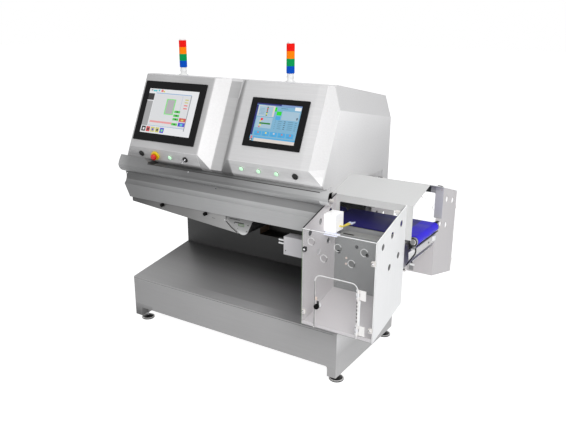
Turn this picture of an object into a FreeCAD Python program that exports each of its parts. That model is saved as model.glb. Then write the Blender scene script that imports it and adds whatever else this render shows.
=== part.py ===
"""X-ray inspection machine with a checkweigher, a reject conveyor and two reject bins.

Millimetres, +Z up, products travel along +X and the operator stands at -Y.  The origin is on the
floor, under the belt's centre line and half way along the machine.  Each sub-part is a function
that returns one solid or a compound of separate solids, and is written to parts/NAME.step.
"""
import FreeCAD, Part
import math
import os

V = FreeCAD.Vector

# Sheet metal and clearances
WALL = 3.0                   # sheet thickness of housings, base and bins
SEAT = 0.3                   # gap left between a piece and the face that carries it
RUN = 0.05                   # radial running clearance of pins and shafts

# Base plinth with its four legs
BASE_LEFT = -980.0
BASE_LENGTH = 1600.0
BASE_FRONT = -363.0
BASE_DEPTH = 805.0
BASE_FRONT_TOP = 337.0       # height of the top plate at the front edge
BASE_REAR_TOP = 431.0        # height of the top plate at the column
SKIRT_BOTTOM = 113.0
LEG_BOTTOM = 51.0
LEG_WIDTH = 58.0
LEG_PLATE = 6.0              # threaded bottom plate of the legs
SKIRT_CORNER = 14.0          # radius where the skirt meets a leg
FOOT_PAD_RADIUS = 45.0
FOOT_PAD_HEIGHT = 22.0
FOOT_SPINDLE_RADIUS = 8.0
FOOT_SPINDLE_LENGTH = 64.0
FOOT_NUT_ACROSS = 24.0
FOOT_NUT_HEIGHT = 10.0
FOOT_INSET_X = 35.0
FOOT_FRONT_INSET = 79.0
FOOT_REAR_INSET = 45.0

# Column behind the belts
COLUMN_FRONT = 217.0
COLUMN_REAR = 442.0
COLUMN_RIGHT = 495.0
REAR_OPENING_LEFT = -905.0
REAR_OPENING_WIDTH = 650.0
REAR_OPENING_BOTTOM = 490.0
REAR_OPENING_HEIGHT = 520.0
REAR_DOOR_LAP = 12.0         # overlap of the rear door on the wall round its opening
REAR_DOOR_DEPTH = 18.0
REAR_DOOR_SHEET = 2.0
REAR_DOOR_GAP = 1.0
REAR_HINGE_HEIGHT = 60.0
REAR_HINGE_Z = (560.0, 880.0)
REAR_PIN_RADIUS = 4.0
REAR_BARREL_RADIUS = 8.0
LOCK_RADIUS = 9.0
LOCK_HEAD_RADIUS = 14.0
LOCK_INSET = 22.0
GLAND_X = 300.0
GLAND_Z = 520.0
GLAND_RADIUS = 12.0
NICHE_LEFT = -310.0          # recess of the column for the weigh cell
NICHE_RIGHT = 400.0
NICHE_BOTTOM = 606.0
NICHE_TOP = 872.0
NICHE_DEPTH = 116.0

# Upper housing
HOUSE_LEFT = BASE_LEFT        # flush with the base and the column
HOUSE_RIGHT = COLUMN_RIGHT
HOUSE_FLOOR = 1130.0         # underside, the roof of the product tunnel
HOUSE_REAR = 532.0
HOUSE_TOP = 1707.0
HOUSE_REAR_TOP = 1591.0
BODY_FRONT = -347.0          # front lower edge of the body
BODY_FRONT_Z = 1183.0
FLOOR_FRONT = -300.0         # where the slanted front facet meets the underside
LEAN = 24.37                 # backward lean of the front planes, degrees
FOLD_Y = -384.0              # fold between console panel and button panel
FOLD_Z = 1269.0
CHAMFER = 68.0               # side run of the console chamfers
LEFT_PANEL = (-912.0, -350.0)
RIGHT_PANEL = (-129.0, 427.0)
BEVEL_FRONT_Z = 1577.0       # fold line of the side bevel at the front plane
BEVEL_REAR_Z = 1454.0
BEVEL_INSET = 43.0
DUCT_BOTTOM = 1040.0         # cable duct that hangs from the housing behind the column
DUCT_GAP = 2.0
BEAM_SLOT = (6.0, 100.0)     # half sizes of the x-ray window in the housing's floor

# Displays, measured up the console panel from the fold
LEFT_DISPLAY_X = -645.0
LEFT_DISPLAY_SIZE = (408.0, 290.0)
LEFT_DISPLAY_UP = 241.0
RIGHT_DISPLAY_X = 151.0
RIGHT_DISPLAY_SIZE = (302.0, 224.0)
RIGHT_DISPLAY_UP = 240.5
LEFT_BEZEL_MARGIN = (47.0, 50.0)
RIGHT_BEZEL_MARGIN = (42.0, 32.5)
BEZEL_PROUD = 7.0
BEZEL_DEPTH = 46.0
GLASS_THICK = 4.0

# Operating devices in a row on each button panel
DEVICE_PITCH = 122.0
LEFT_ROW_X = -644.0
RIGHT_ROW_X = 149.0
DEVICE_UP = 46.0             # height of the row up the button panel from its lower edge
DEVICE_HOLE = 11.3
BEZEL_RING_RADIUS = 14.5
BEZEL_RING_HEIGHT = 5.0
BODY_TUBE_RADIUS = 11.0
PLUNGER_RADIUS = 9.4
PLUNGER_GAP = 0.1
PLUNGER_PROUD = 7.0
PLUNGER_DEPTH = 18.0
BUTTON_TRAVEL = 2.5
LIT_RING_HEIGHT = 2.2
LIT_CAP_RADIUS = 13.0
LIT_CAP_HEIGHT = 4.0
ESTOP_RING_RADIUS = 29.0
ESTOP_RING_HEIGHT = 13.0
ESTOP_HEAD_RADIUS = 20.0
ESTOP_HEAD_HEIGHT = 20.0
ESTOP_TRAVEL = 4.0
KEY_BOW_RADIUS = 13.0

# Signal towers
TOWER_X = (-690.0, 121.0)
TOWER_Y = -85.0
TOWER_RADIUS = 20.0
TOWER_BASE_HEIGHT = 50.0
TOWER_MODULE = 42.0
TOWER_COLOURS = 4
TOWER_CAP_HEIGHT = 7.0

# Rolled lip and the hinged tunnel door under it
LIP_LEFT = HOUSE_LEFT - 10.0
LIP_RIGHT = 570.0
LIP_SHEET = 2.5
LIP_INNER = (-351.0, 1188.0)
LIP_TOP = (-389.0, 1204.0)
LIP_FRONT = (-408.0, 1175.0)
LIP_BULGE = (-422.0, 1143.0)
LIP_UNDER = (-406.0, 1109.0)
LIP_END = (-373.0, 1092.0)
LIP_LOW_SHARE = 0.8
LIP_CREST = (-404.0, 1172.0)
RECESS_LEFT = -790.0         # top of the recess's left slope
RECESS_SLANT = 75.0
RECESS_RAMP = 512.0          # start of the hollow ramp up to the lip's right end
RECESS_RAMP_MIDDLE = (545.0, 1182.0)
LIP_HEM = 2.5                # width of the hems where the lip stands free of the housing
LIP_OPEN = 516.0             # from here on, past the last door bracket, only the front skin goes on
DOOR_LEFT = HOUSE_LEFT - 6.0
DOOR_RIGHT = 514.0
DOOR_PIN = (-357.0, 1084.0)
DOOR_PIN_RADIUS = 4.0
DOOR_BARREL_RADIUS = 7.5
DOOR_HOLLOW = (-361.0, 1042.0)
DOOR_RIDGE = (-383.0, 1008.0)
DOOR_BOTTOM = (-341.0, 906.0)
DOOR_SHEET = 2.5
DOOR_HEM = 14.0
DOOR_BRACKET_WIDTH = 5.0
DOOR_BRACKET_X = (-981.0, -236.0, 509.0)

# Tunnel pan under the x-ray belt
PAN_LEFT = HOUSE_LEFT
PAN_RIGHT = -94.0
PAN_FRONT = -325.0
PAN_TOP = 912.0
PAN_LEFT_BOTTOM = 874.0
PAN_RIGHT_BOTTOM = 803.0
KNOB_X = (-704.0, -344.0)
KNOB_Z = 889.0
KNOB_RADIUS = 12.0
KNOB_LENGTH = 20.0
KNOB_FLUTES = 6
KNOB_SHAFT_RADIUS = 5.0

# Rounded end plate of the belt drive
END_PLATE_CENTRE = (-62.0, 848.0)
END_PLATE_RADIUS = 47.0
END_PLATE_TOP = 900.0
END_PLATE_LEFT = -190.0
END_PLATE_RIGHT = 15.0
END_PLATE_THICK = 4.0
END_PLATE_HOLES = ((45.0, 21.0), (30.0, -22.0), (-34.0, -14.0))
END_PLATE_HOLE_RADIUS = 3.5
END_WINDOW = (-93.0, -47.0, 852.0, 869.0)
TROUGH_TOP = 876.0           # upper edge of the drive trough behind the end plate

# Belt conveyors
BELT_TOP = 932.0
BELT_HALF = 153.0
BELT_THICK = 2.5
ROLLER_RADIUS = 23.0
SHAFT_RADIUS = 6.0
RAIL_GAP = 5.0
RAIL_THICK = 6.0
RAIL_BOTTOM = 884.0
RAIL_TOP = 926.0
XRAY_BELT = (-975.0, -100.0)
WEIGH_BELT = (-90.0, 400.0)
REJECT_BELT = (410.0, 990.0)
XRAY_RODS = (-840.0, -330.0)  # cross rods between the rails of each belt
WEIGH_RODS = (20.0, 290.0)
REJECT_RODS = (500.0, 880.0)
CROSSBAR_RADIUS = 9.0
ARM_WIDTH = 40.0
ARM_HEIGHT = 8.0
ARM_X = (-850.0, -300.0)
CROSS_THICK = 4.0            # flat cross plates under the weigh and reject belts
WEIGH_CROSS_X = (70.0, 200.0)
REJECT_CROSS_X = 800.0
BEARING_RADIUS = 25.0        # bearing housings at the exit roller
BEARING_DEPTH = 8.0
NOSE_PLATE = (968.0, 974.0, 822.0, 864.0)
NOSE_HOLE = (51.0, 841.0, 6.0)
BEAM_X = (430.0, 488.0)      # tube that carries the reject belt
BEAM_HEIGHT = 40.0
CRADLE_X = (720.0, 935.0)
CRADLE_BOTTOM = 760.0
CRADLE_WINDOW = (760.0, 900.0, 790.0, 850.0)
CRADLE_WINDOW_CORNER = 20.0
MOTOR_RADIUS = 28.0
MOTOR_LENGTH = 190.0
MOTOR_DROP = 39.0            # motor axis below the rails
MOTOR_X = (-190.0, 330.0, 620.0)
MOTOR_GEAR_LENGTH = 48.0
MOTOR_LUG = (24.0, 12.0, 20.0)

# Weigh cell and its table under the weigh belt
CELL_X = (100.0, 210.0)
CELL_FRONT = -70.0
CELL_HEIGHT = 64.0
CELL_CORNER = 8.0
CELL_NECK_RADIUS = 22.0
CELL_NECK_X = 155.0
CELL_NECK_GAP = 6.0          # free height between the cell and its table
TABLE_X = (60.0, 250.0)
TABLE_HALF = 120.0
TABLE_THICK = 6.0
TABLE_CORNER = 10.0

# Exit hood
HOOD_RIGHT = 977.0
HOOD_HALF = 237.0
HOOD_EAVE = 1126.0
HOOD_RIDGE = 1192.0
HOOD_SKIRT = 935.0
HOOD_RIM = 18.0
MOUTH_LEFT = 547.0
MOUTH_RIGHT = 929.0
MOUTH_TOP = 1086.0

# Reject bins, front one given, rear one mirrored
BIN_LEFT = 521.0
BIN_RIGHT = 943.0
BIN_DEPTH = 355.0
BIN_FRONT_TOP = 1022.0
BIN_FRONT_BOTTOM = 479.0
BIN_BACK_BOTTOM = 566.0
BIN_BACK_TOP = 900.0
BIN_HOLE_RADIUS = 18.0
BIN_UPPER_HOLES = (-298.0, -410.0, -520.0)
BIN_UPPER_DROP = 66.0        # upper holes below the sloping top edge
BIN_LOWER_HOLES = (-318.0, -427.0)
BIN_LOWER_DROP = 230.0
BIN_BACK_HOLES = ((663.0, 839.0), (551.0, 789.0), (729.0, 802.0))
BIN_BACK_HOLE_RADIUS = 11.0
BIN_LIP_WIDTH = 18.0
CHUTE_GAP = 4.0
PANEL_THICK = 5.0
PANEL_HOLES = ((576.0, 961.0), (652.0, 883.0), (731.0, 956.0), (810.0, 887.0), (878.0, 959.0))
PANEL_HOLE_RADIUS = 20.0
FLAP_LEFT = 602.0            # cut-out of the bin door in the clear panel
FLAP_RIGHT = 853.0
FLAP_TOP = 785.0
FLAP_CORNER = 37.0
FLAP_GAP = 2.0
FLAP_HINGE_Z = (506.0, 703.0)
FLAP_HINGE_HEIGHT = 54.0
FLAP_AXIS_OUT = 8.0          # hinge axis in front of the panel face
HINGE_PIN_RADIUS = 3.0
HINGE_BARREL_RADIUS = 5.5
HINGE_LEAF = 26.0
HINGE_FIXED_LEAF = 40.0
HINGE_LEAF_THICK = 3.0
LATCH_X = 618.0
LATCH_Z = 606.0
LATCH_RADIUS = 14.0
LATCH_SHAFT_RADIUS = 5.0
CLAMP_PLACES = ((541.0, 914.0), (541.0, 560.0), (933.0, 914.0), (933.0, 552.0))
CLAMP_SIZE = (20.0, 26.0, 12.0)
CLAMP_CORNER = 4.0
CLAMP_SCREW_RADIUS = 5.0
LID_CLAMP_X = (538.0, 925.0)
LID_CLAMP_Y = -317.0
LID_CLAMP_SIZE = (26.0, 20.0, 9.0)

# Air-blast units
AIR_BLOCK = (72.0, 95.0, 97.0)
AIR_BLOCK_Y = -326.5
AIR_BLOCK_Z = 996.5
AIR_BLOCK_CORNER = 6.0
AIR_FLANGE = (80.0, 44.0, 6.0)   # mounting flange under the block
AIR_FLANGE_DROP = 18.0
AIR_TUBE_RADIUS = 5.0
AIR_TUBE_DROP = 21.5         # tube below the block's centre
AIR_TUBE_STUB = 18.0
AIR_TUBE_REACH = (22.0, 104.0)
AIR_TIP_SHARE = 0.72         # start of the conical tip along the tube
AIR_TIP_LENGTH = 24.0

# Valve box on the front bin
VALVE_LEFT = 239.0
VALVE_FRONT = -338.0
VALVE_REAR = -268.0
VALVE_BOTTOM = 741.0
VALVE_TOP = 852.0
VALVE_ROD_DROPS = (32.0, 52.0)
VALVE_ROD_REACH = 42.0
VALVE_ROD_RADIUS = 5.0

# Inner units
GENERATOR_X = -560.0
GENERATOR_SIZE = (360.0, 250.0, 230.0)
GENERATOR_Y = 70.0
GENERATOR_CORNER = 14.0
GENERATOR_LID = (10.0, 8.0)      # overhang and thickness
GENERATOR_RIBS = 9
GENERATOR_RIB_SIZE = (6.0, 34.0)
RIB_INSET = 20.0
COLLIMATOR_DROP = 34.0
COLLIMATOR_HALF = 26.0
COLLIMATOR_FAN = (90.0, 150.0)   # half widths at its top and bottom
SLOT_FAN = (60.0, 136.0)
SLOT_HALF = 4.0
COMPUTER_SIZE = (300.0, 220.0, 110.0)
COMPUTER_X = 150.0
COMPUTER_Y = 70.0
COMPUTER_FINS = 14
COMPUTER_FIN_SIZE = (4.0, 22.0)
FIN_INSET = 8.0
DETECTOR_WIDTH = 70.0
DETECTOR_HEIGHT = 28.0
DETECTOR_GAP = 4.0           # below the belt's upper run
DETECTOR_SLOT = (5.0, 140.0, 3.0)
CURTAIN_X = (-945.0, -130.0)
CURTAIN_BOTTOM = 946.0
CURTAIN_HALF = 190.0
CURTAIN_BAR = (5.0, 14.0)
STRIP_WIDTH = 44.0
STRIP_GAP = 3.0
STRIP_HALF = 1.5
PLATE_INSET = (30.0, 20.0)   # electrical plate inside the cabinet's opening
PLATE_NICHE_GAP = 12.0
RAIL_UPS = (70.0, 240.0, 400.0)
RAIL_SIZE = (35.0, 7.0)
DRIVE_UNITS = (3, 110.0, 200.0)      # count, pitch, height above the plate's lower edge
DRIVE_UNIT_SIZE = (90.0, 106.0, 130.0)
BREAKERS = (8, 36.0, 50.0)
BREAKER_SIZE = (30.0, 61.0, 80.0)
UNIT_START = 40.0
SUPPLY_PLACE = (400.0, 360.0)
SUPPLY_SIZE = (120.0, 81.0, 100.0)

TAN_LEAN = math.tan(math.radians(LEAN))
BASE_RIGHT = BASE_LEFT + BASE_LENGTH
BASE_REAR = BASE_FRONT + BASE_DEPTH
BODY_TOP_Y = BODY_FRONT + (HOUSE_TOP - BODY_FRONT_Z) * TAN_LEAN
PROW_TOP_Y = FOLD_Y + (HOUSE_TOP - FOLD_Z) * TAN_LEAN
ROLLER_Z = BELT_TOP - BELT_THICK - ROLLER_RADIUS
BELT_BOTTOM = ROLLER_Z - ROLLER_RADIUS - BELT_THICK
RAIL_INNER = BELT_HALF + RAIL_GAP
RAIL_OUTER = RAIL_INNER + RAIL_THICK
BIN_BACK = -HOOD_HALF - SEAT
BIN_FRONT = BIN_BACK - BIN_DEPTH
BIN_TOP_SLOPE = (HOOD_EAVE - BIN_FRONT_TOP) / BIN_DEPTH
PANEL_BACK = BIN_FRONT - SEAT
PANEL_FACE = PANEL_BACK - PANEL_THICK


def box(x0, x1, y0, y1, z0, z1):
    """Box between two corners."""
    return Part.makeBox(x1 - x0, y1 - y0, z1 - z0, V(x0, y0, z0))


def cylinder(radius, start, direction, length):
    """Round bar from a start point along a direction."""
    return Part.makeCylinder(radius, length, V(*start), V(*direction))


def prism_x(points, x0, x1):
    """Closed outline given as (y, z) points, extruded along X."""
    wire = Part.makePolygon([V(x0, y, z) for y, z in points + points[:1]])
    return Part.Face(wire).extrude(V(x1 - x0, 0, 0))


def prism_y(points, y0, y1):
    """Closed outline given as (x, z) points, extruded along Y."""
    wire = Part.makePolygon([V(x, y0, z) for x, z in points + points[:1]])
    return Part.Face(wire).extrude(V(0, y1 - y0, 0))


def fuse(shapes):
    """Weld shapes into one solid."""
    body = shapes[0].fuse(shapes[1:]) if len(shapes) > 1 else shapes[0]
    body = body.removeSplitter()
    return body.Solids[0] if len(body.Solids) == 1 else body


def group(shapes):
    """Keep shapes as separate solids of one sub-part."""
    return Part.makeCompound([solid for shape in shapes for solid in shape.Solids])


def mirror_y(shape):
    """Copy of a front piece on the far side of the belt's centre line."""
    return shape.mirror(V(0, 0, 0), V(0, 1, 0))


def placement(origin, ex, ey):
    """Placement whose local X and Y run along ex and ey."""
    ez = ex.cross(ey)
    matrix = FreeCAD.Matrix(ex.x, ey.x, ez.x, origin.x, ex.y, ey.y, ez.y, origin.y,
                            ex.z, ey.z, ez.z, origin.z, 0, 0, 0, 1)
    return FreeCAD.Placement(matrix)


def placed(shape, place):
    """Copy of a shape built at the origin, moved to a placement."""
    copy = shape.copy()
    copy.Placement = place
    return copy


def convex(planes, inset, limits):
    """Solid inside a set of planes, each moved inward by the inset; open planes stay out."""
    solid = box(*limits)
    reach = 3000.0
    for point, normal, is_open in planes:
        n = V(*normal).normalize()
        base = V(*point) + n * (1.0 if is_open else -inset)
        side = n.cross(V(0, 0, 1)) if abs(n.z) < 0.9 else n.cross(V(0, 1, 0))
        side.normalize()
        cutter = Part.makeBox(2 * reach, 2 * reach, reach, V(-reach, -reach, 0))
        solid = solid.cut(placed(cutter, placement(base, side, n.cross(side))))
    return solid


def sheet_x(edges, thickness, x0, x1):
    """Bent sheet: a chain of edges in a YZ plane, thickened and extruded along X."""
    wire = Part.Wire(edges)
    shifted = wire.makeOffset2D(thickness, 2, False, True, False)
    near = [v.Point for v in (wire.OrderedVertexes[0], wire.OrderedVertexes[-1])]
    far = [v.Point for v in (shifted.OrderedVertexes[0], shifted.OrderedVertexes[-1])]
    if near[0].distanceToPoint(far[0]) > near[0].distanceToPoint(far[1]):
        far.reverse()
    ends = [Part.LineSegment(a, b).toShape() for a, b in zip(near, far)]
    loop = Part.Wire(Part.__sortEdges__(wire.Edges + shifted.Edges + ends))
    return Part.Face(loop).extrude(V(x1 - x0, 0, 0))


def arc(a, m, b, x):
    """Arc in a YZ plane through three (y, z) points."""
    return Part.Arc(V(x, *a), V(x, *m), V(x, *b)).toShape()


def line(a, b, x):
    """Straight edge in a YZ plane between two (y, z) points."""
    return Part.LineSegment(V(x, *a), V(x, *b)).toShape()


def rounded_plate_y(x0, x1, z0, z1, radius, y0, y1, corners=("top",)):
    """Upright plate with rounded upper or lower corners, thickness along Y."""
    plate = box(x0, x1, y0, y1, z0, z1)
    edges = []
    for edge in plate.Edges:
        c = edge.CenterOfMass
        along_y = abs(edge.BoundBox.YLength - (y1 - y0)) < 0.01 and edge.BoundBox.XLength < 0.01
        if along_y and edge.BoundBox.ZLength < 0.01:
            if ("top" in corners and c.z > z1 - 0.01) or ("bottom" in corners and c.z < z0 + 0.01):
                edges.append(edge)
    return plate.makeFillet(radius, edges)


def base_frame():
    """Closed sheet-metal plinth with a sloping top on two hollow side legs."""
    outline = [(BASE_FRONT, LEG_BOTTOM), (BASE_FRONT, BASE_FRONT_TOP), (COLUMN_FRONT, BASE_REAR_TOP),
               (BASE_REAR, BASE_REAR_TOP), (BASE_REAR, LEG_BOTTOM)]
    body = prism_x(outline, BASE_LEFT, BASE_RIGHT)
    low = LEG_BOTTOM - 10
    gap_x = box(BASE_LEFT + LEG_WIDTH, BASE_RIGHT - LEG_WIDTH, BASE_FRONT - 1, BASE_REAR + 1,
                low, SKIRT_BOTTOM)
    corners = [e for e in gap_x.Edges if e.BoundBox.YLength > BASE_DEPTH and e.CenterOfMass.z > low + 1]
    body = body.cut(gap_x.makeFillet(SKIRT_CORNER, corners))
    hollow = [(BASE_FRONT + WALL, SKIRT_BOTTOM + WALL), (BASE_FRONT + WALL, BASE_FRONT_TOP - WALL),
              (COLUMN_FRONT, BASE_REAR_TOP - WALL), (BASE_REAR - WALL, BASE_REAR_TOP - WALL),
              (BASE_REAR - WALL, SKIRT_BOTTOM + WALL)]
    body = body.cut(prism_x(hollow, BASE_LEFT + WALL, BASE_RIGHT - WALL))
    for x in (BASE_LEFT, BASE_RIGHT - LEG_WIDTH):
        body = body.cut(box(x + WALL, x + LEG_WIDTH - WALL, BASE_FRONT + WALL, BASE_REAR - WALL,
                            LEG_BOTTOM + LEG_PLATE, SKIRT_BOTTOM + 2 * WALL))
    for x, y in foot_places():
        body = body.cut(cylinder(FOOT_SPINDLE_RADIUS + SEAT, (x, y, low), (0, 0, 1), LEG_PLATE + 11))
    return body.removeSplitter().Solids[0]


def foot_places():
    """Centres of the four levelling feet."""
    return [(x, y) for x in (BASE_LEFT + FOOT_INSET_X, BASE_RIGHT - FOOT_INSET_X)
            for y in (BASE_FRONT + FOOT_FRONT_INSET, BASE_REAR - FOOT_REAR_INSET)]


def foot_pads():
    """Turned foot discs with a domed top and a pocket for the spindle."""
    pads = []
    for x, y in foot_places():
        r = FOOT_PAD_RADIUS
        outline = [V(0, 0, 0), V(r - 2, 0, 0), V(r, 0, 3), V(r, 0, 9), V(r - 12, 0, 13),
                   V(18, 0, FOOT_PAD_HEIGHT), V(0, 0, FOOT_PAD_HEIGHT), V(0, 0, 0)]
        pads.append(Part.Face(Part.makePolygon(outline)).revolve(V(0, 0, 0), V(0, 0, 1), 360))
        pads[-1].translate(V(x, y, 0))
    return group(pads)


def hexagon(across, height, z, x, y):
    """Hexagonal nut blank standing on z."""
    r = across / math.sqrt(3)
    points = [V(x + r * math.cos(math.radians(60 * k)), y + r * math.sin(math.radians(60 * k)), z)
              for k in range(7)]
    return Part.Face(Part.makePolygon(points)).extrude(V(0, 0, height))


def foot_spindles():
    """Threaded spindles with their lock nuts under the legs."""
    spindles = []
    for x, y in foot_places():
        rod = cylinder(FOOT_SPINDLE_RADIUS, (x, y, FOOT_PAD_HEIGHT + SEAT), (0, 0, 1), FOOT_SPINDLE_LENGTH)
        lock = hexagon(FOOT_NUT_ACROSS, FOOT_NUT_HEIGHT, LEG_BOTTOM - SEAT - FOOT_NUT_HEIGHT, x, y)
        spindles.append(fuse([rod, lock]))
    return group(spindles)


def column_shell():
    """Sheet-metal column with a niche for the weigh cell and the cabinet opening at the back."""
    z0, z1 = BASE_REAR_TOP + SEAT, HOUSE_FLOOR - SEAT
    body = box(BASE_LEFT, COLUMN_RIGHT, COLUMN_FRONT, COLUMN_REAR, z0, z1)
    edges = [e for e in body.Edges if e.BoundBox.ZLength > z1 - z0 - 1]
    body = body.makeFillet(2 * WALL, edges)
    inner = box(BASE_LEFT + WALL, COLUMN_RIGHT - WALL, COLUMN_FRONT + WALL, COLUMN_REAR - WALL,
                z0 + WALL, z1 - WALL)
    edges = [e for e in inner.Edges if e.BoundBox.ZLength > z1 - z0 - 3 * WALL]
    body = body.cut(inner.makeFillet(WALL, edges))
    door = box(REAR_OPENING_LEFT, REAR_OPENING_LEFT + REAR_OPENING_WIDTH, COLUMN_REAR - 2 * WALL,
               COLUMN_REAR + 1, REAR_OPENING_BOTTOM, REAR_OPENING_BOTTOM + REAR_OPENING_HEIGHT)
    body = body.cut(door)
    y0, y1 = COLUMN_FRONT, COLUMN_FRONT + NICHE_DEPTH
    lining = box(NICHE_LEFT - WALL, NICHE_RIGHT + WALL, y0, y1 + WALL, NICHE_BOTTOM - WALL, NICHE_TOP + WALL)
    body = body.fuse(lining).cut(box(NICHE_LEFT, NICHE_RIGHT, y0 - 1, y1, NICHE_BOTTOM, NICHE_TOP))
    gland = cylinder(GLAND_RADIUS + SEAT, (GLAND_X, COLUMN_REAR - 2 * WALL, GLAND_Z), (0, 1, 0), 3 * WALL)
    return body.cut(gland).removeSplitter().Solids[0]


def cable_inlet():
    """Cable gland with its body, sealing nut and inner lock nut."""
    y = COLUMN_REAR
    body = cylinder(GLAND_RADIUS, (GLAND_X, y - 18, GLAND_Z), (0, 1, 0), 40)
    collar = hexagon(34.0, 9.0, 0, 0, 0)
    collar = placed(collar, placement(V(GLAND_X, y + SEAT, GLAND_Z), V(1, 0, 0), V(0, 0, -1)))
    dome = Part.makeCone(16, 11, 16, V(GLAND_X, y + SEAT + 9, GLAND_Z), V(0, 1, 0))
    bore = cylinder(7.0, (GLAND_X, y - 20, GLAND_Z), (0, 1, 0), 60)
    return fuse([body, collar, dome]).cut(bore).Solids[0]


def rear_door_span():
    """Outline of the rear door: left, right, bottom and top."""
    return (REAR_OPENING_LEFT - REAR_DOOR_LAP, REAR_OPENING_LEFT + REAR_OPENING_WIDTH + REAR_DOOR_LAP,
            REAR_OPENING_BOTTOM - REAR_DOOR_LAP, REAR_OPENING_BOTTOM + REAR_OPENING_HEIGHT + REAR_DOOR_LAP)


def rear_hinge_axis():
    """Plan position of the rear door's hinge pins."""
    y = COLUMN_REAR + REAR_DOOR_GAP + REAR_BARREL_RADIUS + 2.0
    return rear_door_span()[0] - REAR_BARREL_RADIUS - 1.0, y


def hinge_knuckles(axis_x, axis_y, z, height, pin, barrel, web, fixed):
    """Knuckles of an upright three-part hinge, with a web box to its leaf."""
    third = height / 3
    spans = [(z + third, z + 2 * third)]
    if fixed:
        spans = [(z, z + third - SEAT), (z + 2 * third + SEAT, z + height)]
    pieces = []
    for z0, z1 in spans:
        knuckle = cylinder(barrel, (axis_x, axis_y, z0), (0, 0, 1), z1 - z0)
        pieces.append(knuckle.fuse(box(*web, z0, z1)))
    bore = pin if fixed else pin + RUN
    pieces = [p.cut(cylinder(bore, (axis_x, axis_y, z - 5), (0, 0, 1), height + 10)) for p in pieces]
    return pieces


def column_door():
    """Folded rear door with its two middle hinge knuckles."""
    x0, x1, z0, z1 = rear_door_span()
    y0 = COLUMN_REAR + REAR_DOOR_GAP
    y1 = y0 + REAR_DOOR_DEPTH
    body = box(x0, x1, y0, y1, z0, z1)
    body = body.makeFillet(4.0, [e for e in body.Edges if e.CenterOfMass.y > y1 - 0.01])
    t = REAR_DOOR_SHEET
    body = body.cut(box(x0 + t, x1 - t, y0 - 1, y1 - t, z0 + t, z1 - t))
    pieces = [body]
    ax, ay = rear_hinge_axis()
    for z in REAR_HINGE_Z:
        web = (ax, x0 + 4, ay - 2, ay + 2)
        pieces += hinge_knuckles(ax, ay, z, REAR_HINGE_HEIGHT, REAR_PIN_RADIUS, REAR_BARREL_RADIUS,
                                 web, False)
    body = fuse(pieces)
    x, z = lock_place()
    body = body.cut(cylinder(LOCK_RADIUS + RUN, (x, y0, z), (0, 1, 0), REAR_DOOR_DEPTH + 2))
    return body.Solids[0]


def lock_place():
    """Centre of the rear door's quarter-turn lock."""
    x1, z0, z1 = rear_door_span()[1:]
    return x1 - REAR_DOOR_LAP - LOCK_INSET, (z0 + z1) / 2


def column_lock():
    """Quarter-turn lock with its cam upright, which is the open position."""
    x, z = lock_place()
    y1 = COLUMN_REAR + REAR_DOOR_GAP + REAR_DOOR_DEPTH
    head = cylinder(LOCK_HEAD_RADIUS, (x, y1 + SEAT, z), (0, 1, 0), 5)
    shaft = cylinder(LOCK_RADIUS, (x, COLUMN_REAR - 14, z), (0, 1, 0), y1 - COLUMN_REAR + 16)
    cam = box(x - 9, x + 9, COLUMN_REAR - 14, COLUMN_REAR - 10, z - 9, z + 34)
    slot = box(x - 1.5, x + 1.5, y1 + 3, y1 + 10, z - 9, z + 9)
    return fuse([head, shaft, cam]).cut(slot).Solids[0]


def side_planes():
    """Upright sides of the housing and the bevels above them."""
    planes = [((HOUSE_LEFT, 0, 0), (-1, 0, 0), False),
              ((HOUSE_RIGHT, 0, 0), (1, 0, 0), False)]
    bevel_y = BODY_FRONT + (BEVEL_FRONT_Z - BODY_FRONT_Z) * TAN_LEAN
    fold = V(0, HOUSE_REAR - bevel_y, BEVEL_REAR_Z - BEVEL_FRONT_Z)
    for x, sign in ((HOUSE_LEFT, -1), (HOUSE_RIGHT, 1)):
        rise = V(-sign * BEVEL_INSET, 0, HOUSE_REAR_TOP - BEVEL_REAR_Z)
        normal = fold.cross(rise) * sign
        planes.append(((x, HOUSE_REAR, BEVEL_REAR_Z), (normal.x, normal.y, normal.z), False))
    return planes


def body_planes():
    """Planes of the upper housing's body."""
    rad = math.radians(LEAN)
    roof = (0, HOUSE_TOP - HOUSE_REAR_TOP, HOUSE_REAR - BODY_TOP_Y)
    slant = (0, BODY_FRONT_Z - HOUSE_FLOOR, FLOOR_FRONT - BODY_FRONT)
    return side_planes() + [((0, BODY_FRONT, BODY_FRONT_Z), (0, -math.cos(rad), math.sin(rad)), False),
                            ((0, HOUSE_REAR, HOUSE_REAR_TOP), roof, False),
                            ((0, 0, HOUSE_TOP), (0, 0, 1), False),
                            ((0, HOUSE_REAR, 0), (0, 1, 0), False),
                            ((0, 0, HOUSE_FLOOR), (0, 0, -1), False),
                            ((0, BODY_FRONT, BODY_FRONT_Z), (0, -slant[1], -slant[2]), False)]


def prow_planes(span):
    """Planes of one console that stands out of the housing's front."""
    rad = math.radians(LEAN)
    front = (0, -math.cos(rad), math.sin(rad))
    under = (0, -(FOLD_Z - BODY_FRONT_Z), FOLD_Y - BODY_FRONT)
    planes = [((0, FOLD_Y, FOLD_Z), front, False),
              ((0, FOLD_Y, FOLD_Z), under, False),
              ((0, 0, HOUSE_TOP), (0, 0, 1), False),
              ((0, BODY_FRONT, BODY_FRONT_Z), (0, math.cos(rad), -math.sin(rad)), True)]
    up = V(0, TAN_LEAN, 1)
    for x, sign in ((span[0], -1), (span[1], 1)):
        back = V(sign * CHAMFER, BODY_FRONT - FOLD_Y, BODY_FRONT_Z - FOLD_Z)
        normal = back.cross(up) * -sign
        if normal.x * sign < 0:
            normal = normal * -1
        planes.append(((x, FOLD_Y, FOLD_Z), (normal.x, normal.y, normal.z), False))
    return planes + side_planes()


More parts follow.
